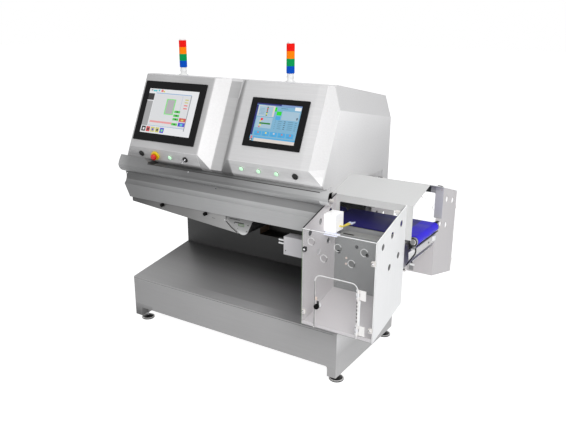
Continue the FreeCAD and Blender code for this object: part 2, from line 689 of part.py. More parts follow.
def house_solid(inset):
    """Body and both consoles as one solid, shrunk by the inset."""
    limits = (HOUSE_LEFT - 50, HOUSE_RIGHT + 50, FOLD_Y - 50, HOUSE_REAR + 50, HOUSE_FLOOR - 50,
              HOUSE_TOP + 50)
    parts = [convex(body_planes(), inset, limits)]
    for span in (LEFT_PANEL, RIGHT_PANEL):
        planes = prow_planes(span)
        if inset > 0:
            point, normal, is_open = planes[3]
            n = V(*normal).normalize() * (3 * inset)
            planes[3] = ((point[0], point[1] + n.y, point[2] + n.z), normal, is_open)
        parts.append(convex(planes, inset, limits))
    return fuse(parts)


def panel_place(x, up):
    """Placement on a console panel: local X along X, local Y up the panel, Z outward."""
    rad = math.radians(LEAN)
    direction = V(0, math.sin(rad), math.cos(rad))
    return placement(V(x, FOLD_Y, FOLD_Z) + direction * up, V(1, 0, 0), direction)


def facet_place(x, up=DEVICE_UP):
    """Placement on a button panel: local Y up the panel from its lower edge, Z outward."""
    direction = V(0, FOLD_Y - BODY_FRONT, FOLD_Z - BODY_FRONT_Z).normalize()
    return placement(V(x, BODY_FRONT, BODY_FRONT_Z) + direction * up, V(1, 0, 0), direction)


def device_x(row, index):
    """Place of an operating device in a row of four."""
    return row + (index - 1.5) * DEVICE_PITCH


def display_data():
    """Centre, height, size and bezel margin of both displays."""
    return ((LEFT_DISPLAY_X, LEFT_DISPLAY_UP, LEFT_DISPLAY_SIZE, LEFT_BEZEL_MARGIN),
            (RIGHT_DISPLAY_X, RIGHT_DISPLAY_UP, RIGHT_DISPLAY_SIZE, RIGHT_BEZEL_MARGIN))


def rear_duct():
    """Closed cable duct under the housing, behind the column."""
    y0 = COLUMN_REAR + DUCT_GAP
    outer = box(HOUSE_LEFT, HOUSE_RIGHT, y0, HOUSE_REAR, DUCT_BOTTOM, HOUSE_FLOOR + WALL)
    inner = box(HOUSE_LEFT + WALL, HOUSE_RIGHT - WALL, y0 + WALL, HOUSE_REAR - WALL,
                DUCT_BOTTOM + WALL, HOUSE_FLOOR)
    return outer.cut(inner)


def upper_housing():
    """Folded sheet housing with display cut-outs, device holes and the beam slot."""
    body = fuse([house_solid(0.0).cut(house_solid(WALL)), rear_duct()])
    for x, up, size, margin in display_data():
        w, h = size[0] + margin[0], size[1] + margin[1]
        cut = Part.makeBox(w, h, 4 * WALL, V(-w / 2, -h / 2, -3 * WALL))
        body = body.cut(placed(cut, panel_place(x, up)))
    for row in (LEFT_ROW_X, RIGHT_ROW_X):
        for index in range(4):
            hole = Part.makeCylinder(DEVICE_HOLE, 4 * WALL, V(0, 0, -3 * WALL))
            body = body.cut(placed(hole, facet_place(device_x(row, index))))
    across, along = BEAM_SLOT
    slot = box(GENERATOR_X - across, GENERATOR_X + across, -along, along, HOUSE_FLOOR - 1,
               HOUSE_FLOOR + WALL + 1)
    body = body.cut(slot)
    return body.Solids[0]


def display_bezels():
    """Black display frames whose boxes stand in the housing's cut-outs."""
    frames = []
    for x, up, size, margin in display_data():
        w, h = size[0] + 2 * margin[0], size[1] + 2 * margin[1]
        flange = Part.makeBox(w, h, BEZEL_PROUD, V(-w / 2, -h / 2, SEAT))
        flange = flange.makeFillet(5.0, [e for e in flange.Edges if e.BoundBox.ZLength > BEZEL_PROUD - 0.1])
        rim = [e for e in flange.Edges if e.CenterOfMass.z > SEAT + BEZEL_PROUD - 0.01]
        flange = flange.makeChamfer(1.5, rim)
        wb, hb = size[0] + margin[0] - 2, size[1] + margin[1] - 2
        back = Part.makeBox(wb, hb, BEZEL_DEPTH, V(-wb / 2, -hb / 2, SEAT - BEZEL_DEPTH))
        bed = BEZEL_PROUD - GLASS_THICK - 1
        pocket = Part.makeBox(size[0], size[1], 20, V(-size[0] / 2, -size[1] / 2, bed))
        frames.append(placed(flange.fuse(back).cut(pocket).removeSplitter(), panel_place(x, up)))
    return group(frames)


def display_glass():
    """Glass fronts in the display frames."""
    panes = []
    for x, up, size, margin in display_data():
        w, h = size[0] - 2 * SEAT, size[1] - 2 * SEAT
        z0 = BEZEL_PROUD - GLASS_THICK - 1 + SEAT
        panes.append(placed(Part.makeBox(w, h, GLASS_THICK, V(-w / 2, -h / 2, z0)), panel_place(x, up)))
    return group(panes)


def device_body(ring_radius, ring_height):
    """Fixed ring and mounting tube of an operating device, at the origin."""
    outline = [V(PLUNGER_RADIUS + PLUNGER_GAP, 0, -26), V(BODY_TUBE_RADIUS, 0, -26),
               V(BODY_TUBE_RADIUS, 0, SEAT), V(ring_radius, 0, SEAT),
               V(ring_radius, 0, ring_height - 1.5), V(ring_radius - 1.5, 0, ring_height),
               V(PLUNGER_RADIUS + PLUNGER_GAP, 0, ring_height), V(PLUNGER_RADIUS + PLUNGER_GAP, 0, -26)]
    return Part.Face(Part.makePolygon(outline)).revolve(V(0, 0, 0), V(0, 0, 1), 360)


LEFT_ROW = ("black_button_left", "estop", "lit_button_1", "key")
RIGHT_ROW = ("lit_button_2", "lit_button_3", "lit_button_4", "black_button_right")


def device_bezels():
    """Mounting rings of the buttons and of the key switch."""
    rings = []
    for row, names in ((LEFT_ROW_X, LEFT_ROW), (RIGHT_ROW_X, RIGHT_ROW)):
        for index, name in enumerate(names):
            if name != "estop":
                ring = device_body(BEZEL_RING_RADIUS, LIT_RING_HEIGHT if "lit" in name else BEZEL_RING_HEIGHT)
                rings.append(placed(ring, facet_place(device_x(row, index))))
    return group(rings)


def estop_collar():
    """Tall yellow collar of the emergency stop."""
    ring = device_body(ESTOP_RING_RADIUS, ESTOP_RING_HEIGHT)
    return group([placed(ring, facet_place(device_x(LEFT_ROW_X, LEFT_ROW.index("estop"))))])


def estop_head():
    """Mushroom head on its plunger."""
    low = ESTOP_RING_HEIGHT + ESTOP_TRAVEL + 1.0
    top = low + ESTOP_HEAD_HEIGHT
    r = ESTOP_HEAD_RADIUS
    outline = [V(0, 0, low), V(0.7 * r, 0, low), V(0.95 * r, 0, low + 3), V(r, 0, low + 7),
               V(0.93 * r, 0, top - 6),
               V(0.7 * r, 0, top - 2), V(0.35 * r, 0, top), V(0, 0, top), V(0, 0, low)]
    head = Part.Face(Part.makePolygon(outline)).revolve(V(0, 0, 0), V(0, 0, 1), 360)
    head = fuse([head, Part.makeCylinder(PLUNGER_RADIUS, low + PLUNGER_DEPTH + 3, V(0, 0, -PLUNGER_DEPTH))])
    return group([placed(head, facet_place(device_x(LEFT_ROW_X, LEFT_ROW.index("estop"))))])


def push_button(name, is_lit):
    """Plunger of a push button, with a wide cap when it is lit."""
    row, names = (LEFT_ROW_X, LEFT_ROW) if name in LEFT_ROW else (RIGHT_ROW_X, RIGHT_ROW)
    body = Part.makeCylinder(PLUNGER_RADIUS, PLUNGER_PROUD + PLUNGER_DEPTH, V(0, 0, -PLUNGER_DEPTH))
    if is_lit:
        low = LIT_RING_HEIGHT + BUTTON_TRAVEL + SEAT
        body = fuse([body, Part.makeCylinder(LIT_CAP_RADIUS, LIT_CAP_HEIGHT, V(0, 0, low))])
    top = [e for e in body.Edges if e.CenterOfMass.z > body.BoundBox.ZMax - 0.01]
    body = body.makeChamfer(1.4, top)
    return group([placed(body, facet_place(device_x(row, names.index(name))))])


def key():
    """Key in the barrel of the key switch."""
    barrel = Part.makeCylinder(PLUNGER_RADIUS, PLUNGER_PROUD + PLUNGER_DEPTH, V(0, 0, -PLUNGER_DEPTH))
    blade = Part.makeBox(8, 2.4, 12, V(-4, -1.2, PLUNGER_PROUD - 1))
    bow = Part.makeCylinder(KEY_BOW_RADIUS, 3.4, V(0, -1.7, PLUNGER_PROUD + 20), V(0, 1, 0))
    hole = Part.makeCylinder(3.5, 10, V(0, -5, PLUNGER_PROUD + 27), V(0, 1, 0))
    body = barrel.fuse([blade, bow]).cut(hole).removeSplitter()
    return group([placed(body, facet_place(device_x(LEFT_ROW_X, LEFT_ROW.index("key"))))])


def roof_z(y):
    """Height of the housing's roof at a depth."""
    fall = (HOUSE_TOP - HOUSE_REAR_TOP) / (HOUSE_REAR - BODY_TOP_Y)
    return HOUSE_TOP - max(0.0, y - BODY_TOP_Y) * fall


def tower_bodies():
    """Flange, foot and top cap of each signal tower with its inner tube."""
    bodies = []
    z = roof_z(TOWER_Y) + SEAT
    stack = TOWER_COLOURS * TOWER_MODULE
    roof = [(-300, roof_z(-300) + SEAT), (BODY_TOP_Y, HOUSE_TOP + SEAT), (300, roof_z(300) + SEAT),
            (300, HOUSE_TOP - 200), (-300, HOUSE_TOP - 200)]
    for x in TOWER_X:
        flange = cylinder(TOWER_RADIUS + 9, (x, TOWER_Y, z - 10), (0, 0, 1), 18)
        foot = cylinder(TOWER_RADIUS, (x, TOWER_Y, z - 10), (0, 0, 1), TOWER_BASE_HEIGHT + 10)
        collar = cylinder(TOWER_RADIUS + 3, (x, TOWER_Y, z + 26), (0, 0, 1), 7)
        whole = TOWER_BASE_HEIGHT + stack + TOWER_CAP_HEIGHT
        tube = cylinder(TOWER_RADIUS - 6, (x, TOWER_Y, z), (0, 0, 1), whole)
        cap = cylinder(TOWER_RADIUS, (x, TOWER_Y, z + TOWER_BASE_HEIGHT + stack), (0, 0, 1), TOWER_CAP_HEIGHT)
        cap = cap.makeChamfer(2.0, [e for e in cap.Edges if e.CenterOfMass.z > cap.BoundBox.ZMax - 0.01])
        body = fuse([flange, foot, collar, tube, cap])
        bodies.append(body.cut(prism_x(roof, x - 60, x + 60)))
    return group(bodies)


def tower_lenses():
    """Ring-shaped lens modules, four on each signal tower."""
    rings = []
    for x in TOWER_X:
        for level in range(TOWER_COLOURS):
            z = roof_z(TOWER_Y) + SEAT + TOWER_BASE_HEIGHT + level * TOWER_MODULE
            ring = cylinder(TOWER_RADIUS, (x, TOWER_Y, z + SEAT), (0, 0, 1), TOWER_MODULE - 2 * SEAT)
            middle = ring.CenterOfMass.z
            ring = ring.makeChamfer(1.2, [e for e in ring.Edges if abs(e.CenterOfMass.z - middle) > 1])
            bore = cylinder(TOWER_RADIUS - 6 + SEAT, (x, TOWER_Y, z - 1), (0, 0, 1), TOWER_MODULE + 2)
            rings.append(ring.cut(bore))
    return group(rings)


def slant_point(t, off):
    """Point on the housing's slanted front facet, at a share of its length and a distance off it."""
    dy, dz = FLOOR_FRONT - BODY_FRONT, HOUSE_FLOOR - BODY_FRONT_Z
    length = math.hypot(dy, dz)
    return (BODY_FRONT + t * dy + off * dz / length, BODY_FRONT_Z + t * dz - off * dy / length)


def prism_z(points, z0, z1):
    """Closed outline given as (x, y) points, extruded along Z."""
    wire = Part.makePolygon([V(x, y, z0) for x, y in points + points[:1]])
    return Part.Face(wire).extrude(V(0, 0, z1 - z0))


def grip_recess(grow):
    """Space of the long grip recess in the lip's top: sloped at the left, a hollow ramp at the right."""
    y, z = LIP_CREST
    z -= grow
    top = LIP_TOP[1]
    front, back, over = LIP_BULGE[0] - 18, LIP_INNER[0] + 21, top + 40
    section = [(front, z), (y, z), (y + 12, z - 9), (back, z - 6), (back, over), (front, over)]
    left, right = RECESS_LEFT - grow, LIP_RIGHT + grow
    low = z - 22
    foot = left + RECESS_SLANT * (top - low) / (top - z)
    mid = (RECESS_RAMP_MIDDLE[0] + grow, RECESS_RAMP_MIDDLE[1] - grow)
    at = lambda p: V(p[0], front, p[1])
    start, end = (RECESS_RAMP + grow, z), (right - 1, top - grow)
    corners = [end, (right - 1, over), (left, over), (left, top), (foot, low),
               (RECESS_RAMP + grow, low), start]
    edges = [Part.LineSegment(at(a), at(b)).toShape() for a, b in zip(corners, corners[1:])]
    edges.append(Part.Arc(at(start), at(mid), at(end)).toShape())
    side = Part.Face(Part.Wire(Part.__sortEdges__(edges))).extrude(V(0, 120, 0))
    return prism_x(section, LIP_LEFT, LIP_RIGHT + 10).common(side)


def cover_lip():
    """Rolled hollow lip along the front; past the last door bracket only its front skin goes on."""
    x = LIP_LEFT
    root, low = slant_point(0.0, 1.0), slant_point(LIP_LOW_SHARE, SEAT)
    edges = [line(low, root, x), line(root, LIP_INNER, x), line(LIP_INNER, LIP_TOP, x),
             arc(LIP_TOP, LIP_FRONT, LIP_BULGE, x), arc(LIP_BULGE, LIP_UNDER, LIP_END, x),
             line(LIP_END, low, x)]
    section = Part.Face(Part.Wire(edges))
    body = section.extrude(V(LIP_RIGHT - LIP_LEFT, 0, 0)).cut(grip_recess(0))
    hollow = section.makeOffset2D(-LIP_SHEET).extrude(V(LIP_RIGHT - LIP_LEFT, 0, 0))
    hollow.translate(V(LIP_SHEET, 0, 0))
    body = body.cut(hollow.cut(grip_recess(LIP_SHEET)))
    top_hem, low_hem = LIP_TOP[0] + LIP_HEM, LIP_END[0] + LIP_HEM
    behind = [(top_hem, LIP_TOP[1] + 9), (top_hem, LIP_TOP[1] - 9), (low_hem - 1, LIP_END[1] + 8),
              (low_hem, LIP_END[1] - 12), (FLOOR_FRONT, LIP_END[1] - 12), (FLOOR_FRONT, LIP_TOP[1] + 9)]
    return body.cut(prism_x(behind, LIP_OPEN, LIP_RIGHT + 1)).Solids[0]


def front_door():
    """Curved tunnel door rolled round its long hinge pin."""
    x = DOOR_LEFT
    y0, z0 = DOOR_PIN[0] - DOOR_BARREL_RADIUS + 0.5 * DOOR_SHEET, DOOR_PIN[1]
    hem = (DOOR_BOTTOM[0] + DOOR_HEM, DOOR_BOTTOM[1] - 2)
    edges = [arc((y0, z0), DOOR_HOLLOW, DOOR_RIDGE, x), line(DOOR_RIDGE, DOOR_BOTTOM, x),
             line(DOOR_BOTTOM, hem, x)]
    skin = sheet_x(edges, -DOOR_SHEET, DOOR_LEFT, DOOR_RIGHT)
    barrel = cylinder(DOOR_BARREL_RADIUS, (DOOR_LEFT, *DOOR_PIN), (1, 0, 0), DOOR_RIGHT - DOOR_LEFT)
    body = fuse([skin, barrel])
    length = DOOR_RIGHT - DOOR_LEFT + 2
    body = body.cut(cylinder(DOOR_PIN_RADIUS + RUN, (DOOR_LEFT - 1, *DOOR_PIN), (1, 0, 0), length))
    for bx in DOOR_BRACKET_X:
        notch = box(bx - 1, bx + DOOR_BRACKET_WIDTH + 1, DOOR_PIN[0] - 14, DOOR_PIN[0] + 20,
                    DOOR_PIN[1] - 14, DOOR_PIN[1] + 14)
        body = body.cut(notch)
    return group([body])


def lip_under(share, off):
    """Point on the lip's flat underside, at a share of its width and a distance below it."""
    low = slant_point(LIP_LOW_SHARE, SEAT)
    dy, dz = low[0] - LIP_END[0], low[1] - LIP_END[1]
    length = math.hypot(dy, dz)
    return (LIP_END[0] + share * dy + off * dz / length, LIP_END[1] + share * dz - off * dy / length)


def door_pin_and_brackets():
    """Long pin of the tunnel door in three brackets on the lip's underside."""
    pin = cylinder(DOOR_PIN_RADIUS, (DOOR_LEFT + 1, *DOOR_PIN), (1, 0, 0), DOOR_RIGHT - DOOR_LEFT - 2)
    outline = [(DOOR_PIN[0] - 6, DOOR_PIN[1] - 6), (DOOR_PIN[0] + 6, DOOR_PIN[1] - 6),
               lip_under(0.55, SEAT), lip_under(0.1, SEAT)]
    plates = [prism_x(outline, bx, bx + DOOR_BRACKET_WIDTH) for bx in DOOR_BRACKET_X]
    return fuse([pin] + plates)


def door_hinges():
    """Fixed halves of all door hinges: tunnel door, rear door and both bin doors."""
    pieces = [door_pin_and_brackets()]
    ax, ay = rear_hinge_axis()
    for z in REAR_HINGE_Z:
        leaf = (ax - 26, ax, COLUMN_REAR + SEAT, COLUMN_REAR + SEAT + 3)
        web = (ax - 4, ax + 2, COLUMN_REAR + SEAT, ay)
        knuckles = hinge_knuckles(ax, ay, z, REAR_HINGE_HEIGHT, REAR_PIN_RADIUS, REAR_BARREL_RADIUS,
                                  web, True)
        plate = box(*leaf, z, z + REAR_HINGE_HEIGHT)
        pin = cylinder(REAR_PIN_RADIUS, (ax, ay, z - 2), (0, 0, 1), REAR_HINGE_HEIGHT + 4)
        gap = box(ax - 12, ax + 12, COLUMN_REAR + REAR_DOOR_GAP, ay + 12, z + REAR_HINGE_HEIGHT / 3 - SEAT,
                  z + 2 * REAR_HINGE_HEIGHT / 3 + SEAT)
        pieces.append(fuse([plate.cut(gap)] + knuckles + [pin]))
    front = flap_hinges()
    return group(pieces + [front, mirror_y(front)])


def flap_axis():
    """Plan position of the front bin door's hinge pin."""
    return FLAP_RIGHT + 6.0, PANEL_FACE - FLAP_AXIS_OUT


def flap_hinges():
    """Fixed leaves and the long pin of the front bin door."""
    ax, ay = flap_axis()
    pieces = []
    for z in FLAP_HINGE_Z:
        leaf = box(ax, ax + HINGE_FIXED_LEAF, PANEL_FACE - SEAT - HINGE_LEAF_THICK, PANEL_FACE - SEAT,
                   z, z + FLAP_HINGE_HEIGHT)
        gap = box(ax - 9, ax + 8, ay - 9, PANEL_FACE + 1, z + FLAP_HINGE_HEIGHT / 3 - SEAT,
                  z + 2 * FLAP_HINGE_HEIGHT / 3 + SEAT)
        web = (ax, ax + 4, ay, PANEL_FACE - SEAT)
        pieces.append(leaf.cut(gap))
        pieces += hinge_knuckles(ax, ay, z, FLAP_HINGE_HEIGHT, HINGE_PIN_RADIUS, HINGE_BARREL_RADIUS,
                                 web, True)
    z0 = FLAP_HINGE_Z[0] - 4
    top = FLAP_HINGE_Z[1] + FLAP_HINGE_HEIGHT + 4
    pieces.append(cylinder(HINGE_PIN_RADIUS, (ax, ay, z0), (0, 0, 1), top - z0))
    return fuse(pieces)


def tunnel_pan():
    """Open sheet trough under the x-ray belt, deeper towards the exit."""
    back = COLUMN_FRONT - SEAT
    outer = prism_y([(PAN_LEFT, PAN_TOP), (PAN_LEFT, PAN_LEFT_BOTTOM), (PAN_RIGHT, PAN_RIGHT_BOTTOM),
                     (PAN_RIGHT, PAN_TOP)], PAN_FRONT, back)
    inner = prism_y([(PAN_LEFT + WALL, PAN_TOP + 1), (PAN_LEFT + WALL, PAN_LEFT_BOTTOM + WALL),
                     (PAN_RIGHT - WALL, PAN_RIGHT_BOTTOM + WALL), (PAN_RIGHT - WALL, PAN_TOP + 1)],
                    PAN_FRONT + WALL, back - WALL)
    body = outer.cut(inner)
    for x in KNOB_X:
        body = body.cut(cylinder(KNOB_SHAFT_RADIUS + RUN, (x, PAN_FRONT - 1, KNOB_Z), (0, 1, 0), WALL + 2))
    return body.Solids[0]


def pan_knob(index):
    """Fluted clamping knob with its shaft and inner nut plate."""
    x = KNOB_X[index]
    face = PAN_FRONT - SEAT - KNOB_LENGTH
    body = cylinder(KNOB_RADIUS, (x, face, KNOB_Z), (0, 1, 0), KNOB_LENGTH)
    body = body.makeChamfer(2.0, [e for e in body.Edges if e.CenterOfMass.y < face + 0.1])
    for k in range(KNOB_FLUTES):
        angle = 2 * math.pi * k / KNOB_FLUTES
        fx, fz = x + (KNOB_RADIUS + 2) * math.cos(angle), KNOB_Z + (KNOB_RADIUS + 2) * math.sin(angle)
        body = body.cut(cylinder(4.0, (fx, face - 3, fz), (0, 1, 0), KNOB_LENGTH + 2))
    shaft = cylinder(KNOB_SHAFT_RADIUS, (x, PAN_FRONT - 4, KNOB_Z), (0, 1, 0), WALL + 16)
    washer = cylinder(10.0, (x, PAN_FRONT + WALL + SEAT, KNOB_Z), (0, 1, 0), 5)
    return fuse([body, shaft, washer])


def tangent_point(px, pz, side):
    """Point where a line from (px, pz) touches the end plate's rounding, on the given side."""
    cx, cz = END_PLATE_CENTRE
    dx, dz = px - cx, pz - cz
    distance = math.hypot(dx, dz)
    angle = math.atan2(dz, dx) + side * math.acos(END_PLATE_RADIUS / distance)
    return cx + END_PLATE_RADIUS * math.cos(angle), cz + END_PLATE_RADIUS * math.sin(angle)


def drive_end_plate():
    """End plate of the belt drive with a rounded foot, and the drive's trough back to the column."""
    y0 = PAN_FRONT - SEAT - END_PLATE_THICK
    left, right = (END_PLATE_LEFT, END_PLATE_TOP), (END_PLATE_RIGHT, END_PLATE_TOP)
    tl, tr = tangent_point(*left, 1), tangent_point(*right, -1)
    foot = (END_PLATE_CENTRE[0], END_PLATE_CENTRE[1] - END_PLATE_RADIUS)
    at = lambda p: V(p[0], y0, p[1])
    edges = [Part.LineSegment(at(left), at(tl)).toShape(), Part.Arc(at(tl), at(foot), at(tr)).toShape(),
             Part.LineSegment(at(tr), at(right)).toShape(), Part.LineSegment(at(right), at(left)).toShape()]
    plate = Part.Face(Part.Wire(edges)).extrude(V(0, END_PLATE_THICK, 0))
    cx, cz = END_PLATE_CENTRE
    r = END_PLATE_RADIUS
    for dx, dz in END_PLATE_HOLES:
        place = (cx + dx, y0 - 1, cz + dz)
        plate = plate.cut(cylinder(END_PLATE_HOLE_RADIUS, place, (0, 1, 0), END_PLATE_THICK + 2))
    x0, x1, z0, z1 = END_WINDOW
    plate = plate.cut(box(x0, x1, y0 - 1, y0 + END_PLATE_THICK + 1, z0, z1))
    start, back = y0 + END_PLATE_THICK - 1, COLUMN_FRONT - SEAT
    round_part = cylinder(r, (cx, start, cz), (0, 1, 0), back - start)
    round_part = round_part.cut(cylinder(r - WALL, (cx, start - 1, cz), (0, 1, 0), back - start + 2))
    round_part = round_part.common(box(PAN_RIGHT + SEAT, cx + r + 1, start, back, cz - r - 1, cz))
    flank = box(cx + r - WALL, cx + r, start, back, cz, TROUGH_TOP)
    return fuse([plate.Solids[0], round_part, flank])


def roller_places(span):
    """X of the two rollers of a belt."""
    reach = ROLLER_RADIUS + BELT_THICK
    return span[0] + reach, span[1] - reach


def belt(span):
    """Endless belt round its two rollers."""
    a, b = roller_places(span)
    r = ROLLER_RADIUS + BELT_THICK
    outer = fuse([cylinder(r, (a, -BELT_HALF, ROLLER_Z), (0, 1, 0), 2 * BELT_HALF),
                  cylinder(r, (b, -BELT_HALF, ROLLER_Z), (0, 1, 0), 2 * BELT_HALF),
                  box(a, b, -BELT_HALF, BELT_HALF, ROLLER_Z - r, ROLLER_Z + r)])
    r = ROLLER_RADIUS
    inner = fuse([cylinder(r, (a, -BELT_HALF - 1, ROLLER_Z), (0, 1, 0), 2 * BELT_HALF + 2),
                  cylinder(r, (b, -BELT_HALF - 1, ROLLER_Z), (0, 1, 0), 2 * BELT_HALF + 2),
                  box(a, b, -BELT_HALF - 1, BELT_HALF + 1, ROLLER_Z - r, ROLLER_Z + r)])
    return outer.cut(inner).Solids[0]


def conveyor_belts():
    """The three belts."""
    return group([belt(span) for span in (XRAY_BELT, WEIGH_BELT, REJECT_BELT)])


def roller(span, index):
    """Roller with shaft ends that turn in the side rails."""
    x = roller_places(span)[index]
    tube = cylinder(ROLLER_RADIUS - SEAT, (x, -BELT_HALF, ROLLER_Z), (0, 1, 0), 2 * BELT_HALF)
    shaft = cylinder(SHAFT_RADIUS, (x, -RAIL_OUTER - 1, ROLLER_Z), (0, 1, 0), 2 * RAIL_OUTER + 2)
    return fuse([tube, shaft])


def rails(span, cross_x):
    """Side rails of a belt with bearing holes, tied by round crossbars inside the belt loop."""
    a, b = roller_places(span)
    pieces = []
    for side in (-1, 1):
        y0, y1 = sorted((side * RAIL_INNER, side * RAIL_OUTER))
        rail = box(a - 18, b + 18, y0, y1, RAIL_BOTTOM, RAIL_TOP)
        ends = [e for e in rail.Edges if e.BoundBox.YLength > RAIL_THICK - 0.1]
        rail = rail.makeFillet(12.0, ends)
        for x in (a, b):
            rail = rail.cut(cylinder(SHAFT_RADIUS + RUN, (x, y0 - 1, ROLLER_Z), (0, 1, 0), RAIL_THICK + 2))
        pieces.append(rail)
    for x in cross_x:
        place = (x, -RAIL_INNER - 1, ROLLER_Z)
        pieces.append(cylinder(CROSSBAR_RADIUS, place, (0, 1, 0), 2 * RAIL_INNER + 2))
    return pieces


def xray_conveyor_frame():
    """Rails of the x-ray belt on two flat arms that reach from the pan's back wall."""
    pieces = rails(XRAY_BELT, XRAY_RODS)
    for x in ARM_X:
        arm = box(x, x + ARM_WIDTH, -RAIL_OUTER, COLUMN_FRONT - WALL - 2 * SEAT, BELT_BOTTOM - 1 - ARM_HEIGHT,
                  BELT_BOTTOM - 1)
        pieces.append(arm)
        for side in (-1, 1):
            y0, y1 = sorted((side * RAIL_INNER, side * RAIL_OUTER))
            pieces.append(box(x, x + ARM_WIDTH, y0, y1, BELT_BOTTOM - 1 - ARM_HEIGHT, RAIL_BOTTOM + 1))
    return fuse(pieces)


def cross_plate(x):
    """Flat plate under a belt, joined up to both rails."""
    z0, z1 = BELT_BOTTOM - 1 - CROSS_THICK, BELT_BOTTOM - 1
    pieces = [box(x, x + ARM_WIDTH, -RAIL_OUTER, RAIL_OUTER, z0, z1)]
    for side in (-1, 1):
        y0, y1 = sorted((side * RAIL_INNER, side * RAIL_OUTER))
        pieces.append(box(x, x + ARM_WIDTH, y0, y1, z0, RAIL_BOTTOM + 1))
    return fuse(pieces)


def weigh_conveyor_frame():
    """Rails of the weigh belt on two cross plates that stand on the load cell's table."""
    return fuse(rails(WEIGH_BELT, WEIGH_RODS) + [cross_plate(x) for x in WEIGH_CROSS_X])


def load_cell():
    """Weigh cell housing in the column's niche, with its table under the weigh belt."""
    top = BELT_BOTTOM - 1 - CROSS_THICK - SEAT
    high = top - TABLE_THICK - CELL_NECK_GAP
    body = box(*CELL_X, CELL_FRONT, COLUMN_FRONT + NICHE_DEPTH - SEAT, high - CELL_HEIGHT, high)
    body = body.makeChamfer(CELL_CORNER, [e for e in body.Edges if e.BoundBox.YLength > 200])
    neck = cylinder(CELL_NECK_RADIUS, (CELL_NECK_X, 0, high - 1), (0, 0, 1), CELL_NECK_GAP + 2)
    table = box(*TABLE_X, -TABLE_HALF, TABLE_HALF, top - TABLE_THICK, top)
    table = table.makeFillet(TABLE_CORNER, [e for e in table.Edges if e.BoundBox.ZLength > TABLE_THICK - 1])
    return fuse([body, neck, table])


def exit_bearings():
    """Bearing housings round the exit roller's shaft and the plate under the belt's nose."""
    x = roller_places(REJECT_BELT)[1]
    x0, x1, z0, z1 = NOSE_PLATE
    y, z, radius = NOSE_HOLE
    nose = box(x0, x1, -RAIL_OUTER, RAIL_OUTER, z0, z1)
    pieces = [nose.cut(cylinder(radius, (x0 - 1, y, z), (1, 0, 0), x1 - x0 + 2))]
    for side in (-1, 1):
        y0, y1 = sorted((side * RAIL_INNER, side * RAIL_OUTER))
        pieces.append(box(x - 12, x1, y0, y1, z0, RAIL_BOTTOM + 2))
        y0, y1 = sorted((side * (RAIL_OUTER - 1), side * (RAIL_OUTER + BEARING_DEPTH)))
        ring = cylinder(BEARING_RADIUS, (x, y0, ROLLER_Z), (0, 1, 0), y1 - y0)
        pieces.append(ring.cut(cylinder(SHAFT_RADIUS + RUN, (x, y0 - 5, ROLLER_Z), (0, 1, 0), y1 - y0 + 10)))
    return pieces


def cradle():
    """Folded tray between the two bins, with a window in each side."""
    z1 = BELT_BOTTOM - 1
    reach = -BIN_BACK - WALL - SEAT
    x0, x1 = CRADLE_X
    tray = box(x0, x1, -reach - WALL, reach + WALL, CRADLE_BOTTOM, z1)
    tray = tray.cut(box(x0 - 1, x1 + 1, -reach, reach, CRADLE_BOTTOM + WALL, z1 + 1))
    window = rounded_plate_y(*CRADLE_WINDOW, CRADLE_WINDOW_CORNER, -reach - 60, reach + 60, ("top", "bottom"))
    bar = box(REJECT_CROSS_X, REJECT_CROSS_X + ARM_WIDTH, -reach - 1, reach + 1, z1 - CROSS_THICK, z1)
    return [tray.cut(window), bar]


def reject_conveyor_frame():
    """Rails of the reject belt on a tube from the column and a cradle between the bins."""
    z1 = BELT_BOTTOM - 1
    x0, x1 = BEAM_X
    beam = box(x0, x1, -RAIL_OUTER, COLUMN_FRONT - SEAT, z1 - BEAM_HEIGHT, z1)
    beam = beam.cut(box(x0 + WALL, x1 - WALL, -RAIL_OUTER - 1, COLUMN_FRONT, z1 - BEAM_HEIGHT + WALL,
                        z1 - WALL))
    pieces = rails(REJECT_BELT, REJECT_RODS) + [beam, cross_plate(REJECT_CROSS_X)]
    pieces += cradle() + exit_bearings()
    for side in (-1, 1):
        y0, y1 = sorted((side * RAIL_INNER, side * RAIL_OUTER))
        pieces.append(box(x0, x1, y0, y1, z1 - CROSS_THICK, RAIL_BOTTOM + 1))
    return fuse(pieces)


def gearmotors():
    """Drum-shaped gearmotors under the front rails, each on its lug."""
    motors = []
    half, depth, drop = MOTOR_LUG
    for x in MOTOR_X:
        z = RAIL_BOTTOM - MOTOR_DROP
        y0 = -RAIL_OUTER
        drum = cylinder(MOTOR_RADIUS, (x, y0 + depth, z), (0, 1, 0), MOTOR_LENGTH)
        gear = box(x - MOTOR_RADIUS, x + MOTOR_RADIUS, y0 + depth, y0 + depth + MOTOR_GEAR_LENGTH,
                   z - MOTOR_RADIUS, z + MOTOR_RADIUS)
        gear = gear.makeChamfer(5.0, [e for e in gear.Edges if e.BoundBox.YLength > MOTOR_GEAR_LENGTH - 1])
        lug = box(x - half, x + half, y0, y0 + depth, z - drop, RAIL_BOTTOM - SEAT)
        lug = lug.cut(box(x - half - 1, x + half + 1, y0 + RAIL_THICK, y0 + depth + 1, BELT_BOTTOM - 2,
                          RAIL_BOTTOM))
        motors.append(fuse([drum, gear, lug]))
    return group(motors)


def hood_outline(inset, skirt):
    """Gable outline of the exit hood, shrunk by the inset."""
    slope = (HOOD_RIDGE - HOOD_EAVE) / HOOD_HALF
    drop = inset * math.sqrt(1 + slope * slope)
    half = HOOD_HALF - inset
    eave = HOOD_RIDGE - drop - slope * half
    return [(-half, skirt), (-half, eave), (0, HOOD_RIDGE - drop), (half, eave), (half, skirt)]


